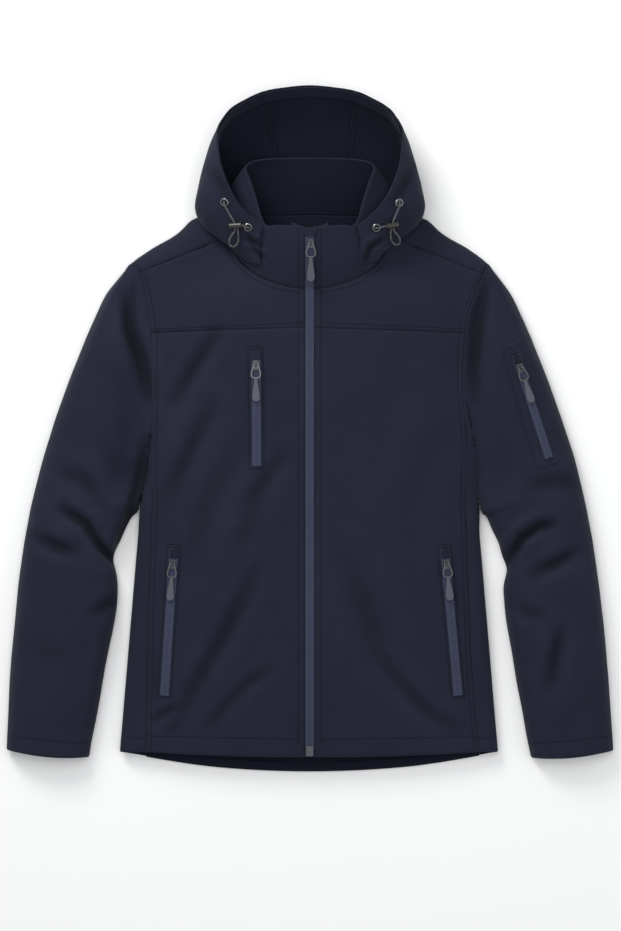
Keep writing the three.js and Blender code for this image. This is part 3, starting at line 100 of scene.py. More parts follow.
# %% Drawcord routes
CORD_DIAMETER = 2.4
CORD_ROUTES = {
    "left": [
        (-115.1, 302.8, 74.5), (-115.1, 301.8, 75.5), (-114.8, 299.7, 76.6), (-113.9, 297.5, 76.8),
        (-112.7, 295, 76.5), (-109.2, 288.7, 74.9), (-105.4, 282, 73.4), (-101.9, 276, 72.2),
        (-101.1, 270.8, 70.3), (-100.6, 266.2, 68.6), (-101.3, 263.5, 66.6), (-105.2, 258, 63),
        (-108.4, 251.5, 57.5), (-107.6, 246.2, 54.2), (-103.6, 243.6, 54), (-98.9, 246, 56.6),
        (-96.2, 251.2, 60.6), (-96.2, 257.5, 64.6), (-96.9, 265, 69.3), (-97.2, 266.5, 69.8),
        (-96.9, 268.7, 70.8), (-95.5, 270.4, 72), (-93.3, 271.1, 73), (-91.1, 271.2, 73.7),
        (-89, 270.2, 73.5), (-86.5, 269, 73.2), (-84.4, 268.2, 72.5), (-82.6, 267.8, 70.9),
        (-81.9, 267.9, 69.7),
    ],
    "right": [
        (119.9, 302.5, 72.4), (120.2, 301.5, 73.4), (120.2, 299.4, 74.4), (119.8, 297, 74.6),
        (119, 294.4, 74.4), (116.6, 288.6, 72.6), (114, 282.4, 71), (111.7, 276.8, 69.6),
        (111.7, 271.9, 67.1), (111.9, 267.5, 64.7), (113, 264.2, 61.6), (118, 258.6, 56.6),
        (121.2, 252.8, 52), (120.2, 248.2, 49.6), (116, 246.2, 49.6), (111.2, 249.2, 52.6),
        (108.8, 254.6, 56.4), (108.4, 260, 60.6), (108.5, 265.6, 65.2), (108.5, 267.1, 65.9),
        (107.9, 269.1, 67.2), (106.3, 270.4, 68.6), (104, 270.6, 69.6), (101.7, 270.2, 70.3),
        (96.1, 268.8, 70.9), (93.4, 268.1, 71.2), (91.1, 267.6, 71), (89, 267.6, 69.9),
        (88, 267.7, 68.9),
    ],
}


def smooth_route(points, per_part=6):
    """Points of a centripetal curve through all the given ones, as the CAD tube follows it."""
    p = [Vector(point) for point in points]
    p = [2 * p[0] - p[1], *p, 2 * p[-1] - p[-2]]
    found = []
    for i in range(1, len(p) - 2):
        a, b, c, d = p[i - 1 : i + 3]
        ta = -math.sqrt((b - a).length)
        tc = math.sqrt((c - b).length)
        td = tc + math.sqrt((d - c).length)
        slope_b = ((b - a) / -ta - (c - a) / (tc - ta) + (c - b) / tc) * tc
        slope_c = ((c - b) / tc - (d - b) / td + (d - c) / (td - tc)) * tc
        for s in range(per_part):
            t = s / per_part
            found.append(
                (2 * t**3 - 3 * t**2 + 1) * b + (t**3 - 2 * t**2 + t) * slope_b
                + (3 * t**2 - 2 * t**3) * c + (t**3 - t**2) * slope_c
            )
    return [*found, p[-2]]


def keep_object(name, mesh):
    obj = bpy.data.objects.new(name, mesh)
    bpy.context.scene.collection.objects.link(obj)
    return obj


def cord_mesh(name, points, radius):
    """A round tube along the points, with u round it and v along it, in mm."""
    curve = bpy.data.curves.new(name + "_line", "CURVE")
    curve.dimensions = "3D"
    curve.bevel_depth = radius * MM
    curve.bevel_resolution = 3
    curve.use_fill_caps = True
    line = curve.splines.new("POLY")
    line.points.add(len(points) - 1)
    for knot, point in zip(line.points, points):
        knot.co = (*(Vector(point) * MM), 1)
    helper = keep_object(name + "_line", curve)
    bpy.context.view_layer.update()
    shown = helper.evaluated_get(bpy.context.evaluated_depsgraph_get())
    mesh = bpy.data.meshes.new_from_object(shown)
    mesh.name = name
    bpy.data.objects.remove(helper)
    return mesh


cords = {}
for side, route in CORD_ROUTES.items():
    line = smooth_route(route)
    length = sum((b - a).length for a, b in zip(line, line[1:]))
    cord = keep_object(f"cord_{side}", cord_mesh(f"cord_{side}", line, CORD_DIAMETER / 2))
    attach(cord, "jacket")
    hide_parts(f"drawcord_{side}")
    for face in cord.data.polygons:
        face.use_smooth = True
    cords[side] = (cord, line, length)
    print(cord.name, "length", round(length, 1), "mm, uv maps", [uv.name for uv in cord.data.uv_layers])

# %% [markdown]
# The stage is a plain white surface, and the light is that of a flat-lay in a studio: a big
# soft panel above, a second one from the upper left that models the folds, and a pale world
# that fills the shadows.

# %% Surface and light
def plain_material(name, color, roughness):
    material = bpy.data.materials.new(name)
    material.use_nodes = True
    shader = material.node_tree.nodes["Principled BSDF"]
    shader.inputs["Base Color"].default_value = (*color, 1)
    shader.inputs["Roughness"].default_value = roughness
    return material


def floor_mesh(half):
    bm = bmesh.new()
    bmesh.ops.create_grid(bm, x_segments=1, y_segments=1, size=half)
    bmesh.ops.translate(bm, verts=bm.verts, vec=(0, 0, -0.0005))
    mesh = bpy.data.meshes.new("table")
    bm.to_mesh(mesh)
    bm.free()
    return mesh


table = keep_object("table", floor_mesh(6.0))
table.data.materials.append(plain_material("white_paper", (0.93, 0.93, 0.925), 0.9))
table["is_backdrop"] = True

LIGHTS = [
    # name, place, aims at, size, watts
    ("overhead_panel", (0.0, 0.4, 2.8), (0, 0, 0), 2.8, 38),
    ("top_panel", (-1.3, 2.1, 1.5), (0, 0, 0), 1.1, 50),
    ("right_panel", (2.2, -0.4, 1.6), (0, 0, 0), 1.4, 8),
]
for name, place, aim, size, watts in LIGHTS:
    data = bpy.data.lights.new(name, "AREA")
    data.shape, data.size, data.energy = "SQUARE", size, watts
    lamp = bpy.data.objects.new(name, data)
    lamp.location = place
    direction = Vector(aim) - Vector(place)
    lamp.rotation_euler = direction.to_track_quat("-Z", "Y").to_euler()
    bpy.context.scene.collection.objects.link(lamp)
world = bpy.data.worlds.new("studio")
world.use_nodes = True
world.node_tree.nodes["Background"].inputs["Color"].default_value = (0.95, 0.97, 1.0, 1)
world.node_tree.nodes["Background"].inputs["Strength"].default_value = 0.45
bpy.context.scene.world = world
bpy.context.scene.view_settings.view_transform = "Standard"
print("lights", [name for name, *_ in LIGHTS])

# %% [markdown]
# Softshell has a tightly woven stretch face.  From arm's length it is matt, with a faint sheen
# where it turns away, fine crossing threads, and soft patches that are a little lighter or
# darker.  Waves in two directions make the threads, and two scales of noise make the patches.
# All of it reads Object coordinates, so it keeps its scale on every panel.  On top of that the colour
# carries painted shade in stitch grooves and fold troughs, and painted light on fold swells.

# %% Cloth materials
STITCH_PITCH, PUCKER_PITCH = 3.4, 11.0


def stitched_relief(nodes, links):
    """Height in mm of the rows of stitches, and painted shade for their grooves, from the panel's
    attributes.
    """

    def math_node(kind, a, b=None, clamp=False):
        node = nodes.new("ShaderNodeMath")
        node.operation, node.use_clamp = kind, clamp
        for socket, value in zip(node.inputs, (a, b)):
            if isinstance(value, (int, float)):
                socket.default_value = value
            elif value is not None:
                links.new(value, socket)
        return node.outputs["Value"]

    def attribute(name):
        node = nodes.new("ShaderNodeAttribute")
        node.attribute_name = name
        return node.outputs["Fac"]

    def bell(value, width):
        ratio = math_node("DIVIDE", value, width)
        return math_node("EXPONENT", math_node("MULTIPLY", math_node("POWER", ratio, 2), -1))

    beside = math_node("ABSOLUTE", attribute("row_beside"))
    near, along = attribute("row_near"), attribute("row_along")
    groove = math_node("MULTIPLY", bell(beside, 0.85), near)
    stitch = math_node("SINE", math_node("MULTIPLY", along, 2 * math.pi / STITCH_PITCH))
    knot = math_node("MULTIPLY", bell(beside, 0.45), math_node("MULTIPLY", stitch, 0.5))
    pucker = math_node("SINE", math_node("MULTIPLY", along, 2 * math.pi / PUCKER_PITCH))
    swell = math_node("MULTIPLY", math_node("MULTIPLY", bell(beside, 2.6), near), pucker)
    height = math_node("MULTIPLY", groove, math_node("ADD", math_node("MULTIPLY", knot, 0.5), -0.55))
    height = math_node("ADD", height, math_node("MULTIPLY", swell, 0.07))
    return height, math_node("MULTIPLY", groove, 0.8)


def woven_material(
    name, color, patch=0.12, threads=1500, bump=0.25, roughness=0.85, sheen=0.05, rows=True
):
    """A matt woven cloth: threads per metre, and patches as a share of the colour; with rows, the
    colour also gets painted shade in stitch grooves and fold troughs and painted light on fold swells.
    """
    material = bpy.data.materials.new(name)
    material.use_nodes = True
    tree = material.node_tree
    nodes, links = tree.nodes, tree.links
    shader = nodes["Principled BSDF"]
    shader.inputs["Roughness"].default_value = roughness
    shader.inputs["Sheen Weight"].default_value = sheen
    shader.inputs["Sheen Roughness"].default_value = 0.5
    shader.inputs["Specular IOR Level"].default_value = 0.15
    place = nodes.new("ShaderNodeTexCoord").outputs["Object"]

    large = nodes.new("ShaderNodeTexNoise")
    large.inputs["Scale"].default_value = 14
    large.inputs["Detail"].default_value = 3
    fine = nodes.new("ShaderNodeTexNoise")
    fine.inputs["Scale"].default_value = 420
    fine.inputs["Detail"].default_value = 4
    for texture in (large, fine):
        links.new(place, texture.inputs["Vector"])
    both = nodes.new("ShaderNodeMix")
    both.inputs["Factor"].default_value = 0.45
    links.new(large.outputs["Fac"], both.inputs["A"])
    links.new(fine.outputs["Fac"], both.inputs["B"])
    ramp = nodes.new("ShaderNodeValToRGB")
    ramp.color_ramp.elements[0].position = 0.35
    ramp.color_ramp.elements[1].position = 0.65
    ramp.color_ramp.elements[0].color = (*[c * (1 - patch) for c in color], 1)
    ramp.color_ramp.elements[1].color = (*[c * (1 + patch) for c in color], 1)
    links.new(both.outputs["Result"], ramp.inputs["Fac"])
    links.new(ramp.outputs["Color"], shader.inputs["Base Color"])

    weave = nodes.new("ShaderNodeMath")
    weave.operation = "ADD"
    for i, direction in enumerate(("X", "Y")):
        wave = nodes.new("ShaderNodeTexWave")
        wave.bands_direction = direction
        wave.inputs["Scale"].default_value = threads / 6.2832 * 0.5
        wave.inputs["Distortion"].default_value = 0.6
        links.new(place, wave.inputs["Vector"])
        links.new(wave.outputs["Fac"], weave.inputs[i])
    grain = nodes.new("ShaderNodeMath")
    grain.operation = "ADD"
    links.new(weave.outputs["Value"], grain.inputs[0])
    links.new(fine.outputs["Fac"], grain.inputs[1])
    relief = nodes.new("ShaderNodeBump")
    relief.inputs["Strength"].default_value = bump
    relief.inputs["Distance"].default_value = 0.0003
    links.new(grain.outputs["Value"], relief.inputs["Height"])
    links.new(relief.outputs["Normal"], shader.inputs["Normal"])
    if rows:
        height, shade = stitched_relief(nodes, links)
        pressed = nodes.new("ShaderNodeBump")
        pressed.inputs["Distance"].default_value = MM
        links.new(height, pressed.inputs["Height"])
        links.new(relief.outputs["Normal"], pressed.inputs["Normal"])
        links.new(pressed.outputs["Normal"], shader.inputs["Normal"])
        # Painted shade: the colour is darkened along each stitch groove.
        painted_groove_shade = nodes.new("ShaderNodeMix")
        painted_groove_shade.data_type = "RGBA"
        painted_groove_shade.blend_type = "MULTIPLY"
        painted_groove_shade.inputs["B"].default_value = (0.55, 0.55, 0.58, 1)
        links.new(shade, painted_groove_shade.inputs["Factor"])
        links.new(ramp.outputs["Color"], painted_groove_shade.inputs["A"])
        # Painted shade and light: the colour is scaled down in fold troughs and up on fold swells, read
        # from the fold-height attribute.
        painted_fold_shade_and_light = nodes.new("ShaderNodeAttribute")
        painted_fold_shade_and_light.attribute_name = "painted_fold_shade_and_light"
        fold_shade_factor = nodes.new("ShaderNodeMapRange")
        for socket, value in (("From Min", -4.5), ("From Max", 2.0), ("To Min", 0.42), ("To Max", 1.2)):
            fold_shade_factor.inputs[socket].default_value = value
        fold_shade_factor.interpolation_type = "SMOOTHSTEP"
        links.new(painted_fold_shade_and_light.outputs["Fac"], fold_shade_factor.inputs["Value"])
        shaded_colour = nodes.new("ShaderNodeVectorMath")
        shaded_colour.operation = "SCALE"
        links.new(painted_groove_shade.outputs["Result"], shaded_colour.inputs[0])
        links.new(fold_shade_factor.outputs["Result"], shaded_colour.inputs["Scale"])
        links.new(shaded_colour.outputs["Vector"], shader.inputs["Base Color"])
    return material


NAVY = (0.0115, 0.0130, 0.0265)
# The inner side is the same navy painted darker, as painted shade for the inside of the hood and
# collar.
SHADED_INSIDE_NAVY = (0.0048, 0.0058, 0.0145)
TAPE_BLUE = (0.040, 0.045, 0.080)
softshell = woven_material("softshell", NAVY)
softshell_inside = woven_material("softshell_inside", SHADED_INSIDE_NAVY, threads=900, bump=0.35)
facing_cloth = woven_material("facing_cloth", (0.0078, 0.0092, 0.0205))
binding = woven_material("binding", (0.026, 0.028, 0.042), rows=False)
zip_tape = woven_material("zip_tape", TAPE_BLUE, patch=0.08, threads=2600, rows=False)
print("cloth materials", [m.name for m in (softshell, softshell_inside, zip_tape)])

# %% [markdown]
# Metal, rubber and the braided cord are small, but they catch the eye.  Metal and rubber have a
# fine grain in their colour, gloss and relief, the metal a satin gloss, and the braid of the cord is
# made of two sets of slanting waves on its own UV map.

# %% Hardware materials
def grained_material(name, color, roughness, metallic=0.0, grain=900, bump=0.15, spread=0.12):
    """A plain stuff with fine grain in its colour, gloss and relief."""
    material = bpy.data.materials.new(name)
    material.use_nodes = True
    tree = material.node_tree
    nodes, links = tree.nodes, tree.links
    shader = nodes["Principled BSDF"]
    shader.inputs["Metallic"].default_value = metallic
    place = nodes.new("ShaderNodeTexCoord").outputs["Object"]
    noise_node = nodes.new("ShaderNodeTexNoise")
    noise_node.inputs["Scale"].default_value = grain
    noise_node.inputs["Detail"].default_value = 5
    links.new(place, noise_node.inputs["Vector"])
    ramp = nodes.new("ShaderNodeValToRGB")
    ramp.color_ramp.elements[0].position = 0.3
    ramp.color_ramp.elements[1].position = 0.7
    ramp.color_ramp.elements[0].color = (*[c * (1 - spread) for c in color], 1)
    ramp.color_ramp.elements[1].color = (*[c * (1 + spread) for c in color], 1)
    links.new(noise_node.outputs["Fac"], ramp.inputs["Fac"])
    links.new(ramp.outputs["Color"], shader.inputs["Base Color"])
    gloss = nodes.new("ShaderNodeMapRange")
    gloss.inputs["To Min"].default_value = roughness - 0.06
    gloss.inputs["To Max"].default_value = roughness + 0.06
    links.new(noise_node.outputs["Fac"], gloss.inputs["Value"])
    links.new(gloss.outputs["Result"], shader.inputs["Roughness"])
    relief = nodes.new("ShaderNodeBump")
    relief.inputs["Strength"].default_value = bump
    relief.inputs["Distance"].default_value = 0.0001
    links.new(noise_node.outputs["Fac"], relief.inputs["Height"])
    links.new(relief.outputs["Normal"], shader.inputs["Normal"])
    return material


satin_metal = grained_material("satin_metal", (0.115, 0.118, 0.125), 0.36, metallic=1.0)
gunmetal = grained_material("gunmetal", (0.075, 0.077, 0.085), 0.34, metallic=1.0)
eyelet_metal = grained_material("eyelet_metal", (0.17, 0.17, 0.175), 0.3, metallic=1.0)
lock_plastic = grained_material("lock_plastic", (0.05, 0.05, 0.048), 0.3, metallic=0.5)
grip_rubber = grained_material("grip_rubber", (0.062, 0.065, 0.085), 0.55, grain=1400)


def braid_material(name, dark, light):
    material = bpy.data.materials.new(name)
    material.use_nodes = True
    tree = material.node_tree
    nodes, links = tree.nodes, tree.links
    shader = nodes["Principled BSDF"]
    shader.inputs["Roughness"].default_value = 0.75
    shader.inputs["Sheen Weight"].default_value = 0.2
    place = nodes.new("ShaderNodeTexCoord").outputs["UV"]
    strands = nodes.new("ShaderNodeMath")
    strands.operation = "MULTIPLY"
    for i, turn in enumerate((0.7, -0.7)):
        slant = nodes.new("ShaderNodeMapping")
        slant.inputs["Scale"].default_value = (3, 60, 1)
        slant.inputs["Rotation"].default_value = (0, 0, turn)
        links.new(place, slant.inputs["Vector"])
        wave = nodes.new("ShaderNodeTexWave")
        wave.inputs["Scale"].default_value = 1.3
        links.new(slant.outputs["Vector"], wave.inputs["Vector"])
        links.new(wave.outputs["Fac"], strands.inputs[i])
    ramp = nodes.new("ShaderNodeValToRGB")
    ramp.color_ramp.elements[0].color = (*dark, 1)
    ramp.color_ramp.elements[1].color = (*light, 1)
    links.new(strands.outputs["Value"], ramp.inputs["Fac"])
    links.new(ramp.outputs["Color"], shader.inputs["Base Color"])
    relief = nodes.new("ShaderNodeBump")
    relief.inputs["Strength"].default_value = 0.5
    relief.inputs["Distance"].default_value = 0.0003
    links.new(strands.outputs["Value"], relief.inputs["Height"])
    links.new(relief.outputs["Normal"], shader.inputs["Normal"])
    return material


cord_braid = braid_material("cord_braid", (0.035, 0.035, 0.04), (0.16, 0.16, 0.165))
for cord, _, _ in cords.values():
    cord.data.materials.clear()
    cord.data.materials.append(cord_braid)
print("hardware materials", [m.name for m in (satin_metal, eyelet_metal, lock_plastic, grip_rubber)])

# %% [markdown]
# Every sewn panel starts from its CAD solid, a closed wall two millimetres thick.  The wall's
# outer side is what a maker would cut, so the inner side and the rim are taken away.  What is
# left is made of quads again and subdivided, so that it bends as one smooth cloth; the wall
# gets its thickness back at the end, from a Solidify modifier.

# %% From CAD wall to smooth cloth
WALL = 2.0


GROW_BACK = 5


def outer_side(node, wall, pick):
    """The outer side of a CAD wall as a bmesh.  Rim faces have an edge as long as the wall."""
    bm = bmesh.new()
    bm.from_mesh(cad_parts[node].data)
    bmesh.ops.remove_doubles(bm, verts=bm.verts, dist=2e-5)
    rim = {
        face for edge in bm.edges if abs(edge.calc_length() - wall * MM) < 1e-5
        for face in edge.link_faces
    }
    bmesh.ops.delete(bm, geom=list(rim), context="FACES_ONLY")
    bmesh.ops.delete(bm, geom=[e for e in bm.edges if not e.link_faces], context="EDGES")
    bmesh.ops.delete(bm, geom=[v for v in bm.verts if not v.link_faces], context="VERTS")
    sides, left = [], set(bm.faces)
    while left:
        side, front = set(), {left.pop()}
        while front:
            face = front.pop()
            side.add(face)
            left.discard(face)
            near = {f for e in face.edges for f in e.link_faces}
            front |= near & left
        sides.append(side)
    sides = sorted(sides, key=len)[-2:]
    keep = max(sides, key=lambda side: pick([v.co for f in side for v in f.verts]))
    bmesh.ops.delete(bm, geom=[f for f in bm.faces if f not in keep], context="FACES")
    bmesh.ops.join_triangles(
        bm, faces=bm.faces, angle_face_threshold=math.pi, angle_shape_threshold=math.pi
    )
    return bm


def highest(points):
    return sum(p.z for p in points) / len(points)


def lowest(points):
    return -highest(points)


def widest(points):
    return sum(max(p[i] for p in points) - min(p[i] for p in points) for i in range(3))


def subdivided(bm, name, levels, rounds=GROW_BACK):
    """The bmesh as a mesh, subdivided; with rounds, it passes through the coarse vertices."""
    mesh = bpy.data.meshes.new(name)
    bm.to_mesh(mesh)
    bm.free()
    helper = keep_object(name + "_helper", mesh)
    modifier = helper.modifiers.new("smooth", "SUBSURF")
    modifier.boundary_smooth = "PRESERVE_CORNERS"
    wanted, _ = arrays(mesh)
    for again in range(rounds + 1):
        modifier.levels = modifier.render_levels = 1 if again < rounds else levels
        bpy.context.view_layer.update()
        dense = bpy.data.meshes.new_from_object(
            helper.evaluated_get(bpy.context.evaluated_depsgraph_get())
        )
        if again < rounds:
            # the first vertices of the dense mesh are the coarse ones, after smoothing
            reached, _ = arrays(dense)
            coarse, _ = arrays(mesh)
            put_back(mesh, coarse + 0.9 * (wanted - reached[: len(wanted)]))
            bpy.data.meshes.remove(dense)
    bpy.data.objects.remove(helper)
    bpy.data.meshes.remove(mesh)
    dense.name = name
    return dense


def subdivided_together(nodes, levels):
    """Panels subdivided as one cloth, so that an edge runs on smoothly across their seams."""
    joined = bmesh.new()
    for index, node in enumerate(nodes):
        pick, wall, _ = PANELS[node]
        bm = outer_side(node, wall, pick)
        for face in bm.faces:
            face.material_index = index
        part = bpy.data.meshes.new(node)
        bm.to_mesh(part)
        bm.free()
        joined.from_mesh(part)
        bpy.data.meshes.remove(part)
    bmesh.ops.remove_doubles(joined, verts=joined.verts, dist=0.0009)
    whole = subdivided(joined, "joined", levels, rounds=0)
    parts = {}
    for index, node in enumerate(nodes):
        bm = bmesh.new()
        bm.from_mesh(whole)
        others = [f for f in bm.faces if f.material_index != index]
        bmesh.ops.delete(bm, geom=others, context="FACES")
        for face in bm.faces:
            face.material_index = 0
        parts[node] = bpy.data.meshes.new(node + "_cloth")
        bm.to_mesh(parts[node])
        bm.free()
    bpy.data.meshes.remove(whole)
    return parts


def arrays(mesh):
    co = np.empty(len(mesh.vertices) * 3)
    no = np.empty(len(mesh.vertices) * 3)
    mesh.vertices.foreach_get("co", co)
    mesh.vertex_normals.foreach_get("vector", no)
    return co.reshape(-1, 3) / MM, no.reshape(-1, 3)


def put_back(mesh, points):
    mesh.vertices.foreach_set("co", (points * MM).ravel())
    mesh.update()


# %% [markdown]
# The folds are given one by one.  Each line of the table is one crease that the arms, the side
# or the waist of a laid jacket throws up: where it starts and ends, how wide and how deep it
# is, and how high the cloth swells beside it.  A fold fades at both ends.

# %% Folds
FOLD_STRENGTH = 1.8
FOLDS = [
    # points in pixels of the frame; half width and depth in mm, swell beside it in mm
    ([(216, 333), (196, 365), (173, 402)], 9, 1.6, 0.8),
    ([(258, 570), (221, 641), (189, 696), (173, 729)], 10, 1.5, 0.8),
    ([(273, 666), (240, 690), (206, 731)], 7, 1.1, 0.6),
    ([(175, 707), (163, 714), (152, 722)], 6, 1.6, 0.8),
    ([(379, 657), (404, 686), (429, 713), (457, 731)], 10, 1.2, 0.7),
    ([(268, 486), (250, 520), (236, 548)], 13, 1.0, 0.5),
    ([(236, 452), (205, 505), (190, 560)], 16, 0.7, 0.4),
    ([(345, 560), (368, 612), (380, 655)], 18, 0.9, 0.4),
    ([(440, 425), (420, 470), (405, 520)], 18, 0.4, 0.2),
    ([(63, 509), (86, 524), (97, 543), (111, 560)], 7, 3.4, 2.0),
    ([(111, 560), (104, 552), (97, 543)], 5, 2.0, 1.0),
    ([(38, 537), (56, 547), (76, 553)], 8, 2.0, 1.2),
    ([(115, 600), (106, 606), (94, 614)], 8, 1.6, 0.8),
    ([(62, 470), (84, 480), (101, 497)], 12, 1.4, 0.9),
    ([(30, 640), (52, 652), (74, 650)], 16, 0.5, 0.3),
    ([(552, 524), (537, 527), (522, 538), (508, 562)], 7, 3.4, 2.0),
    ([(577, 551), (556, 563), (533, 574)], 8, 2.2, 1.2),
    ([(560, 631), (556, 652), (550, 687)], 9, 1.9, 1.0),
    ([(531, 485), (556, 480), (577, 486)], 12, 1.3, 0.8),
    ([(519, 604), (528, 612), (541, 616)], 9, 1.2, 0.7),
    ([(126, 296), (130, 329), (141, 359), (148, 398)], 9, 3.2, 1.0),
    ([(145, 440), (139, 480), (129, 522), (114, 556)], 8, 2.8, 0.3),
    ([(213, 404), (194, 440), (178, 475), (168, 500)], 12, 1.5, 0.8),
    ([(283, 455), (262, 482), (242, 508)], 10, 1.3, 0.7),
    ([(486, 284), (478, 322), (474, 372), (476, 402)], 8, 2.4, 0.4),
    ([(246, 238), (253, 243), (261, 247)], 4, 2.2, 1.0),
    ([(252, 249), (258, 254), (263, 259)], 4, 2.0, 0.9),
    ([(384, 239), (376, 244), (369, 249)], 4, 2.2, 1.0),
    ([(371, 246), (368, 254), (365, 262)], 4, 2.0, 0.9),
    ([(238, 98), (249, 107), (254, 118)], 5, 0.5, 0.3),
    ([(252, 92), (262, 100), (267, 112)], 5, 0.5, 0.3),
    ([(213, 170), (222, 186), (232, 203)], 8, 1.4, 0.7),
    ([(412, 168), (404, 186), (393, 205)], 8, 1.4, 0.7),
]


def fold_heights(x, y):
    """Height of all folds over places on the surface, in mm."""
    height = np.zeros_like(x)
    for pixels, width, depth, swell in FOLDS:
        line = np.array([at_pixel(*p) for p in pixels])
        steps = np.linalg.norm(np.diff(line, axis=0), axis=1)
        total = steps.sum()
        best = np.full_like(x, 1e9)
        along = np.zeros_like(x)
        start = 0.0
        for a, b, step in zip(line, line[1:], steps):
            t = np.clip(((x - a[0]) * (b[0] - a[0]) + (y - a[1]) * (b[1] - a[1])) / step**2, 0, 1)
            away = np.hypot(x - a[0] - t * (b[0] - a[0]), y - a[1] - t * (b[1] - a[1]))
            closer = away < best
            best = np.where(closer, away, best)
            along = np.where(closer, (start + t * step) / total, along)
            start += step
        fade = np.sin(np.pi * np.clip(along * 0.9 + 0.05, 0, 1)) ** 0.6
        trough = depth * np.exp(-((best / width) ** 2))
        beside = swell * np.exp(-(((best - 2.1 * width) / (1.1 * width)) ** 2))
        height += FOLD_STRENGTH * fade * (beside - trough)
    return height


def ripple(points, size, seed):
    """Soft unevenness of the cloth: smooth noise of about +-1 at the given size in mm."""
    return np.array([noise.noise(Vector(p) / size + Vector((seed, 7.3, 1.9))) for p in points])


print(len(FOLDS), "folds")

# %% [markdown]
# Topstitching runs beside most seams.  Each row presses a narrow groove into the cloth and
# puckers it a little.  Modelling that at thread size would need millions of faces, so every
# panel carries three attributes instead: how far a place is to the side of the nearest row,
# how far along it, and whether a row is near.  The cloth material turns them into relief, and paints
# shade into the colour along each groove.

# %% Topstitched rows
ROW_REACH = 4.2
FRONTS = ("front_left", "front_right", "front_yoke_left", "front_yoke_right")
HOOD = ("hood_left", "hood_centre", "hood_right")


def pixels(*points):
    return [at_pixel(*p) for p in points]


def frame_round(top, bottom, half):
    """Corners of a rectangle of stitches round a zip."""
    (x0, y0), (x1, y1) = top, bottom
    length = math.hypot(x1 - x0, y1 - y0)
    dx, dy = (x1 - x0) / length, (y1 - y0) / length
    x0, y0, x1, y1 = x0 - 2.5 * dx, y0 - 2.5 * dy, x1 + 2.5 * dx, y1 + 2.5 * dy
    a, b = (x0 - dy * half, y0 + dx * half), (x0 + dy * half, y0 - dx * half)
    c, d = (x1 + dy * half, y1 - dx * half), (x1 - dy * half, y1 + dx * half)
    return [a, b, c, d, a]


ROWS = [
    # the nodes it is sewn through, the side that faces up (1 outer, -1 inner), points in mm
    (FRONTS, 1, pixels((154.5, 329.5), (303.4, 323.2))),
    (FRONTS, 1, pixels((326.6, 323.3), (461.5, 329))),
    (FRONTS, 1, [(-223, 206), (-214.5, 172), (-207, 129), (-206, 67), (-206.5, 8)]),
    (FRONTS, 1, [(226.5, 203), (218, 184), (205, 150), (201.5, 119), (199.5, 62), (200, 50)]),
    (FRONTS, 1, [(-207.8, 2), (-206.8, -97), (-212.2, -256), (-215.5, -434)]),
    (FRONTS, 1, [(201.5, 44), (206.5, -23), (204.5, -97), (210.9, -297), (217.5, -386), (223, -434)]),
    (FRONTS, 1, pixels((119, 737), (298.5, 740))),
    (FRONTS, 1, pixels((321, 740), (500, 738))),
    (("side_panel_left",), 0, [(-252, -418), (-222, -422)]),
    (("side_panel_right",), 0, [(230, -422), (252, -418)]),
    (("sleeve_left",), 0, pixels((4, 736.5), (50, 741.5), (94, 745.5))),
    (("sleeve_right",), 0, pixels((525, 745.5), (570, 741.5), (617, 736.5))),
    (FRONTS + ("collar",), 1, pixels((298.6, 230), (298.6, 743))),
    (FRONTS + ("collar",), 1, pixels((320.9, 230), (320.9, 743))),
    (FRONTS, 1, [(-21, 183), (-46, 187.5), (-68, 196), (-87, 208), (-104, 228), (-118, 254)]),
    (FRONTS, 1, [(21, 183), (46, 187.5), (68, 196), (87, 208), (104, 228), (118, 254)]),
    (("back",), -1, [(-212, -434), (-120, -447), (0, -452), (120, -447), (212, -434)]),
    (("sleeve_pocket_patch",), 1, pixels(
        (530.5, 341), (502.2, 351), (534.6, 461.5), (538.4, 468.6), (546, 470.4), (573, 462.5),
    )),
    (("front_left",), 1, frame_round((-73, 107), (-71.8, -53.7), 10.4)),
    (("front_left",), 1, frame_round((-183.6, -161), (-197, -363), 9.2)),
    (("front_right",), 1, frame_round((182, -161), (200.5, -363), 9.2)),
    (HOOD, -1, pixels((264, 108), (268, 130), (275, 158))),
    (HOOD, -1, pixels((269, 107), (273, 130), (280, 158))),
    (HOOD, -1, pixels((351, 104), (350, 130), (348, 162))),
    (HOOD, -1, pixels((357, 104), (356, 130), (354, 162))),
]


def add_value(mesh, name, values):
    attribute = mesh.attributes.new(name, "FLOAT", "POINT")
    attribute.data.foreach_set("value", values.astype(np.float32))


def add_rows(mesh, node, points, normals):
    """Stores how each vertex lies to the nearest row of stitches on this node."""
    x, y = points[:, 0], points[:, 1]
    beside = np.full(len(x), ROW_REACH)
    length = np.zeros(len(x))
    nearest = np.full(len(x), 1e9)
    for nodes, side, line in ROWS:
        if node not in nodes:
            continue
        facing = normals[:, 2] * side if side else np.ones(len(x))
        start = 0.0
        for a, b in zip(line, line[1:]):
            dx, dy = b[0] - a[0], b[1] - a[1]
            size = math.hypot(dx, dy)
            t = np.clip(((x - a[0]) * dx + (y - a[1]) * dy) / size**2, 0, 1)
            away = np.hypot(x - a[0] - t * dx, y - a[1] - t * dy)
            sign = np.where((x - a[0]) * dy - (y - a[1]) * dx > 0, 1.0, -1.0)
            closer = (away < nearest) & (facing > -0.1)
            nearest = np.where(closer, away, nearest)
            beside = np.where(closer, away * sign, beside)
            length = np.where(closer, start + t * size, length)
            start += size
    near = np.clip((ROW_REACH - nearest) / 1.4, 0, 1)
    for name, values in (("row_beside", beside), ("row_along", length), ("row_near", near)):
        add_value(mesh, name, values)


print(len(ROWS), "rows of topstitching")
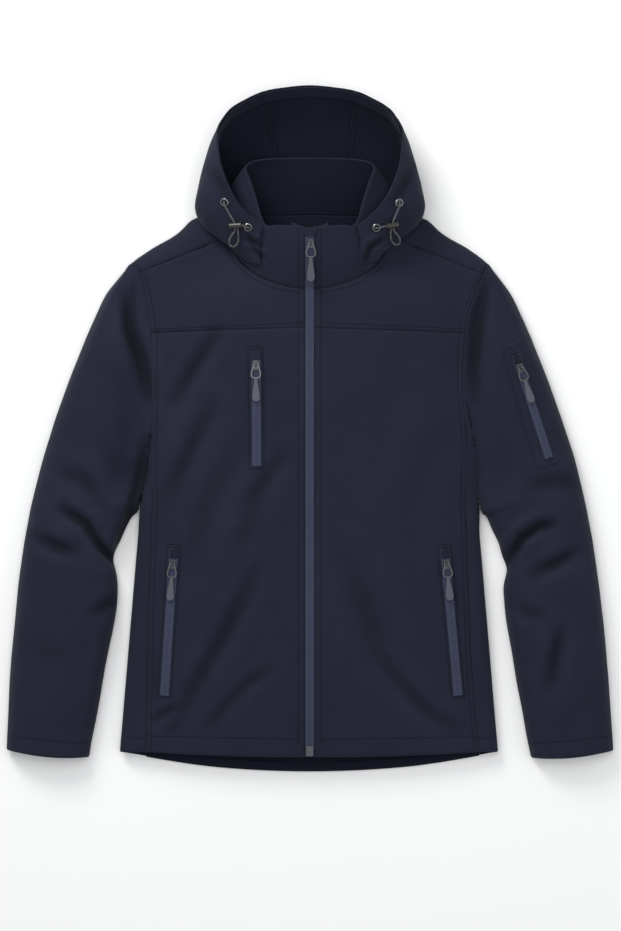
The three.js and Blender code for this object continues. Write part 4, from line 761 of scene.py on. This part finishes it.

# %% [markdown]
# Now the panels themselves.  Cloth that faces up gets the folds at full depth, cloth that slopes
# away less of them, and cloth that faces down none.  Two sizes of smooth noise keep any stretch
# from being flat.  Along every seam the cloth is pulled down by the stitching, so each open border
# is pressed in a little and moved outward to close the gap that the CAD leaves at a seam.

# %% Cloth panels
LEVELS = 3
LEVELS_OF = {"back": 2, "sleeve_pocket_patch": 2}
SEAM_DROP, SEAM_CLOSE = 0.75, 0.16
SLEEVE_SIDE = {"sleeve_left": -1, "sleeve_right": 1}
LET_OUT = 3.2  # mm that the sleeve's outer edge and the back hem gain on the CAD form
PANELS = {
    # node: (side to keep, wall in mm, seed of its unevenness)
    "back": (lowest, WALL, 1),
    "side_panel_left": (widest, WALL, 2),
    "side_panel_right": (widest, WALL, 3),
    "sleeve_left": (widest, WALL, 4),
    "sleeve_right": (widest, WALL, 5),
    "front_left": (highest, WALL, 6),
    "front_right": (highest, WALL, 7),
    "front_yoke_left": (highest, WALL, 8),
    "front_yoke_right": (highest, WALL, 9),
    "collar": (widest, WALL, 10),
    "hood_left": (widest, WALL, 11),
    "hood_centre": (widest, WALL, 12),
    "hood_right": (widest, WALL, 13),
    "sleeve_pocket_patch": (highest, 1.0, 14),
}


def shaped(mesh, node, seed):
    """Adds rows, folds and unevenness to a dense panel, away from the surface it lies on."""
    points, normals = arrays(mesh)
    add_rows(mesh, node, points, normals)
    x, y, z = points.T
    up = normals[:, 2]
    top = np.clip((up - 0.15) / 0.45, 0, 1)
    folds = fold_heights(x, y) * top
    rough = 0.55 * ripple(points, 46, seed) + 0.22 * ripple(points, 15, seed + 20)
    moved = folds + rough * np.clip(np.abs(up), 0.3, 1)
    points = points + normals * (moved * np.where(up > 0, 1, -0.5))[:, None]
    # Painted shade and light: fold and ripple heights, stored so the material darkens the colour in
    # troughs and lightens it on rises.
    add_value(mesh, "painted_fold_shade_and_light", fold_heights(x, y) * np.clip((up + 0.4) / 0.5, 0, 1) + 0.35 * rough)
    if node in SLEEVE_SIDE:
        side = SLEEVE_SIDE[node]
        share = np.clip((215 - y) / 50, 0, 1) * np.clip((side * x - 225) / 30, 0, 1)
        points[:, 0] += side * LET_OUT * share * np.clip(side * normals[:, 0], 0, 1)
    if node == "back":
        points[:, 1] -= LET_OUT * np.clip((-438 - y) / 18, 0, 1)
    points[:, 2] = np.maximum(points[:, 2], 0.05)
    put_back(mesh, points)


def press_seams(mesh):
    """Presses the open borders down and closes the gap that the CAD leaves at a seam."""
    bm = bmesh.new()
    bm.from_mesh(mesh)
    border = {v for e in bm.edges if len(e.link_faces) == 1 for v in e.verts}
    bm.normal_update()
    moves = []
    for vert in border:
        inner = [e.other_vert(vert).co for e in vert.link_edges if e.other_vert(vert) not in border]
        outward = Vector()
        if inner:
            outward = vert.co - sum(inner, Vector()) / len(inner)
            outward -= vert.normal * outward.dot(vert.normal)
            outward.normalize()
        moves.append((vert, outward * SEAM_CLOSE * MM - vert.normal * SEAM_DROP * MM))
    for vert, move in moves:
        vert.co += move
    bm.to_mesh(mesh)
    bm.free()


def keep_above_table(mesh, thickness):
    """Raises what would lie below z = 0 once the cloth has its thickness."""
    for _ in range(3):
        points, normals = arrays(mesh)
        floor = 0.05 + thickness * np.clip(normals[:, 2], 0, 1)
        points[:, 2] = np.maximum(points[:, 2], floor)
        put_back(mesh, points)


def finish_cloth(name, mesh, thickness, materials, node):
    """The mesh as an object with its wall, materials and smooth shading."""
    keep_above_table(mesh, thickness)
    piece = keep_object(name, mesh)
    for material in materials:
        mesh.materials.append(material)
    mesh.polygons.foreach_set("use_smooth", [True] * len(mesh.polygons))
    wall = piece.modifiers.new("wall", "SOLIDIFY")
    wall.thickness = thickness * MM
    wall.offset = -1
    wall.use_even_offset = False
    # The inner side takes the darker inside cloth, whose colour carries painted shade.
    wall.material_offset = len(materials) - 1
    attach(piece, "jacket")
    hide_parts(node)
    return piece


cloth = {}
hood_parts = subdivided_together(HOOD, LEVELS)
for node, (pick, wall, seed) in PANELS.items():
    if node in HOOD:
        dense = hood_parts[node]
    else:
        dense = subdivided(outer_side(node, wall, pick), node + "_cloth", LEVELS_OF.get(node, LEVELS))
    shaped(dense, node, seed)
    press_seams(dense)
    cloth[node] = finish_cloth(
        node + "_cloth", dense, wall, (softshell, softshell_inside), node
    )
    print(node, len(dense.polygons), "faces")

# %% [markdown]
# The facing lies inside the hood's brim and shows its knitted side.  The two garages are
# little flaps of the shell cloth, and the hanger is a folded strip at the back of the neck.

# %% Facing, garages and hanger loop
FACING_LIFT = 1.3  # mm, so that the facing shows on the hood's smoothed inner side
dense = subdivided(outer_side("hood_brim_facing", 1.0, highest), "hood_brim_facing_cloth", LEVELS, 0)
shaped(dense, "hood_brim_facing", 15)
points, normals = arrays(dense)
put_back(dense, points + normals * FACING_LIFT)
cloth["hood_brim_facing"] = finish_cloth(
    "hood_brim_facing_cloth", dense, 1.0, (facing_cloth,),
    "hood_brim_facing",
)


def merged_copy(node, name):
    """A mesh with its own welded copy of a CAD mesh, its flat faces merged."""
    bm = bmesh.new()
    bm.from_mesh(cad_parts[node].data)
    bmesh.ops.remove_doubles(bm, verts=bm.verts, dist=1e-6)
    bmesh.ops.dissolve_limit(
        bm, angle_limit=math.radians(1), use_dissolve_boundaries=False,
        verts=bm.verts, edges=bm.edges,
    )
    mesh = bpy.data.meshes.new(name)
    bm.to_mesh(mesh)
    bm.free()
    return mesh


def soft_copy(node, material, bevel, segments=3, body="jacket"):
    """A copy of a small CAD piece with its edges rounded."""
    mesh = merged_copy(node, node + "_shape")
    mesh.materials.append(material)
    piece = keep_object(node + "_shape", mesh)
    rounding = piece.modifiers.new("rounding", "BEVEL")
    rounding.width, rounding.segments, rounding.profile = bevel * MM, segments, 0.5
    rounding.limit_method, rounding.angle_limit = "ANGLE", math.radians(28)
    mesh.polygons.foreach_set("use_smooth", [True] * len(mesh.polygons))
    even = piece.modifiers.new("even", "WEIGHTED_NORMAL")
    even.keep_sharp = True
    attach(piece, body)
    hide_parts(node)
    return piece


small_cloth = {
    name: soft_copy(name, material, bevel)
    for name, slot, material, bevel in (
        ("main_zip_garage", "softshell", softshell, 0.45),
        ("chest_zip_garage", "softshell", softshell, 0.45),
        ("hanger_loop", "softshell_inside", binding, 0.4),
    )
}
print(sorted(small_cloth))

# %% [markdown]
# The fittings are copies of the CAD solids with their edges rounded, because machined and
# moulded edges always catch a line of light.  The pulls ride their own bodies, so that they
# turn on their hinges.

# %% Sliders, pulls, eyelets and cord locks
for zip_name, body in (
    ("main", "pull_main"), ("chest_zip", "pull_chest"), ("hand_left_zip", "pull_hand_left"),
    ("hand_right_zip", "pull_hand_right"), ("sleeve_zip", "pull_sleeve"),
):
    for part, slot, material, bevel, rides in (
        ("slider", "metal", gunmetal, 0.35, "jacket"),
        ("pull_link", "metal", satin_metal, 0.3, body),
        ("pull_grip", "grip", grip_rubber, 0.6, body),
    ):
        node = f"{zip_name}_{part}"
        soft_copy(node, material, bevel, 3, rides)
for node in ("main_zip_box", "cord_lock_left", "cord_lock_right"):
    is_lock = node.startswith("cord_lock")
    soft_copy(
        node, lock_plastic if is_lock else satin_metal,
        0.5 if is_lock else 0.4,
    )
for place in ("upper_left", "lower_left", "upper_right", "lower_right"):
    soft_copy(f"eyelet_{place}", eyelet_metal, 0.45)

# %% [markdown]
# A zip tape is a narrow woven ribbon.  The coil is sewn to its hidden side, so the front shows
# two smooth folds that meet in a line, with fine ribs where the coil's turns press through.
# Each ribbon is a grid laid over the top of its CAD strip.

# %% Zip tapes
ZIP_PROFILE = [
    # share of the half width, height in mm
    (-1, 0.0), (-0.93, 0.32), (-0.72, 0.42), (-0.5, 0.4), (-0.32, 0.62), (-0.14, 0.7),
    (-0.04, 0.45), (0, 0.1), (0.04, 0.45), (0.14, 0.7), (0.32, 0.62), (0.5, 0.4), (0.72, 0.42),
    (0.93, 0.32), (1, 0.0),
]
COIL_PITCH = 1.4


def heights_of(node):
    """A function from a place to the height of the top of a CAD node there, in mm."""
    bm = bmesh.new()
    bm.from_mesh(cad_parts[node].data)
    bmesh.ops.remove_doubles(bm, verts=bm.verts, dist=1e-6)
    tree = BVHTree.FromBMesh(bm)
    bm.free()

    def height(x, y):
        hit = tree.ray_cast(Vector((x * MM, y * MM, 0.2)), Vector((0, 0, -1)))[0]
        return None if hit is None else hit.z / MM

    return height


def zip_ribbon(node, start, end, half):
    """The ribbon of one zip, from its start to its end, with ribs across it."""
    (x0, y0), (x1, y1) = start, end
    length = math.hypot(x1 - x0, y1 - y0)
    dx, dy = (x1 - x0) / length, (y1 - y0) / length
    height = heights_of(node)
    rows = int(length / (COIL_PITCH / 2))
    bm = bmesh.new()
    bmesh.ops.create_grid(bm, x_segments=len(ZIP_PROFILE) - 1, y_segments=rows, size=0.5)
    bm.verts.index_update()
    known = {}
    for vert in bm.verts:
        column = round((vert.co.x + 0.5) * (len(ZIP_PROFILE) - 1))
        row = round((vert.co.y + 0.5) * rows)
        share, lift = ZIP_PROFILE[column]
        down = length * row / rows
        if row not in known:
            middle = height(x0 + dx * down, y0 + dy * down)
            known[row] = middle if middle is not None else known.get(row - 1, 0)
        side = share * half
        x, y = x0 + dx * down - dy * side, y0 + dy * down + dx * side
        top = height(x * 0.999 + 0.001 * (x0 + dx * down), y)
        rib = 0.09 * (1 if row % 2 else -1) * (0.04 < abs(share) < 0.4)
        vert.co = (x * MM, y * MM, ((known[row] if top is None else top) - 0.25 + lift + rib) * MM)
    bmesh.ops.recalc_face_normals(bm, faces=bm.faces)
    mesh = bpy.data.meshes.new(node + "_ribbon")
    bm.to_mesh(mesh)
    bm.free()
    mesh.materials.append(zip_tape)
    mesh.polygons.foreach_set("use_smooth", [True] * len(mesh.polygons))
    piece = keep_object(node + "_ribbon", mesh)
    wall = piece.modifiers.new("wall", "SOLIDIFY")
    wall.thickness, wall.offset = 0.9 * MM, -1
    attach(piece, "jacket")
    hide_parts(node)
    return piece


ZIPS = {
    # node: (top, bottom, half width) in mm
    "main_zip_tape": ((-0.4, 261), (-0.4, -444), 5.4),
    "chest_zip_tape": ((-72.6, 105), (-71.8, -51.5), 5.8),
    "hand_left_zip_tape": ((-183.6, -163), (-197, -362), 5.6),
    "hand_right_zip_tape": ((182, -163), (200.5, -362), 5.6),
    "sleeve_zip_tape": ((277.4, 99), (322.6, -40.5), 5.2),
}
ribbons = {node: zip_ribbon(node, *place) for node, place in ZIPS.items()}
print({node: len(r.data.polygons) for node, r in ribbons.items()})


# %% [markdown]
# Each pocket zip is set in a narrow welt of the shell cloth.  The welt is a flattened tube that
# follows a rounded rectangle round the tape and seats on the cloth under it.

# %% Pocket welts
WELT_HALF, WELT_HEIGHT, WELT_SIDES = 1.1, 0.8, 8


def top_of(pieces):
    """A function from a place to the top of finished pieces there, in mm."""
    trees = []
    bpy.context.view_layer.update()
    depsgraph = bpy.context.evaluated_depsgraph_get()
    for piece in pieces:
        trees.append(BVHTree.FromObject(piece, depsgraph))

    def top(x, y):
        hits = [t.ray_cast(Vector((x * MM, y * MM, 0.2)), Vector((0, 0, -1)))[0] for t in trees]
        return max(hit.z for hit in hits if hit is not None) / MM

    return top


def rounded_path(corners, radius, step=2.0):
    """Points of a closed outline with rounded corners, about a step apart."""
    points = []
    count = len(corners)
    for i in range(count):
        here, before, after = (Vector(corners[(i + k) % count]) for k in (0, -1, 1))
        start = here + (before - here).normalized() * radius
        stop = here + (after - here).normalized() * radius
        for t in (0, 0.25, 0.5, 0.75, 1):
            points.append((1 - t) ** 2 * start + 2 * t * (1 - t) * here + t**2 * stop)
        nearer = Vector(corners[(i + 1) % count])
        far = nearer + (here - nearer).normalized() * radius
        pieces = max(2, int((far - stop).length / step))
        points += [stop.lerp(far, k / pieces) for k in range(1, pieces)]
    return points


def welt(name, path, top):
    """A flattened closed tube along the path, seated on the cloth below it."""
    bm = bmesh.new()
    rings = []
    count = len(path)
    for i, point in enumerate(path):
        tangent = (path[(i + 1) % count] - path[i - 1]).normalized()
        side = Vector((-tangent.y, tangent.x))
        level = top(point.x, point.y)
        ring = []
        for k in range(WELT_SIDES):
            angle = 2 * math.pi * k / WELT_SIDES
            place = point + side * math.cos(angle) * WELT_HALF
            z = level + 0.15 + WELT_HEIGHT * math.sin(angle)
            ring.append(bm.verts.new(Vector((place.x, place.y, z)) * MM))
        rings.append(ring)
    for a, b in zip(rings, [*rings[1:], rings[0]]):
        for k in range(WELT_SIDES):
            bm.faces.new((a[k], a[k - 1], b[k - 1], b[k]))
    bmesh.ops.recalc_face_normals(bm, faces=bm.faces)
    mesh = bpy.data.meshes.new(name)
    bm.to_mesh(mesh)
    bm.free()
    mesh.materials.append(softshell)
    mesh.polygons.foreach_set("use_smooth", [True] * len(mesh.polygons))
    piece = keep_object(name, mesh)
    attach(piece, "jacket")
    return piece


def pocket_garage(name, start, end, half, length, top):
    """A short rounded cover of the facing cloth over the top end of a pocket zip."""
    (x0, y0), (x1, y1) = start, end
    down = Vector((x1 - x0, y1 - y0)).normalized()
    side = Vector((-down.y, down.x))
    bm = bmesh.new()
    bmesh.ops.create_grid(bm, x_segments=8, y_segments=8, size=0.5)
    for vert in bm.verts:
        across, along = vert.co.x * 2, vert.co.y + 0.5
        place = Vector(start) + side * across * half + down * along * length
        level = top(place.x, place.y) + 0.35 + 0.5 * (1 - across**2)
        vert.co = Vector((place.x, place.y, level)) * MM
    bmesh.ops.recalc_face_normals(bm, faces=bm.faces)
    mesh = bpy.data.meshes.new(name)
    bm.to_mesh(mesh)
    bm.free()
    mesh.materials.append(facing_cloth)
    mesh.polygons.foreach_set("use_smooth", [True] * len(mesh.polygons))
    piece = keep_object(name, mesh)
    wall = piece.modifiers.new("wall", "SOLIDIFY")
    wall.thickness, wall.offset = 0.8 * MM, 0
    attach(piece, "jacket")
    return piece


for node, under in (
    ("chest_zip_tape", "front_left"), ("hand_left_zip_tape", "front_left"),
    ("hand_right_zip_tape", "front_right"), ("sleeve_zip_tape", "sleeve_pocket_patch"),
):
    start, end, half = ZIPS[node]
    corners = frame_round(start, end, half + WELT_HALF)[:4]
    name = node.replace("_tape", "_welt")
    welt(name, rounded_path(corners, 3.0), top_of([cloth[under]]))
    if node != "chest_zip_tape":
        name = node.replace("_tape", "_garage")
        top = top_of([cloth[under], ribbons[node]])
        pocket_garage(name, start, end, half * 0.95, 13, top)

# %% [markdown]


# %% [markdown]
# Last, the size of the finished scene is printed beside that of the CAD model, so that the two
# can be compared.

# %% Size and finish
size = {"cad": [list(c) for c in cad_box], "scene": [list(c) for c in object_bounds()]}
print("size", size)
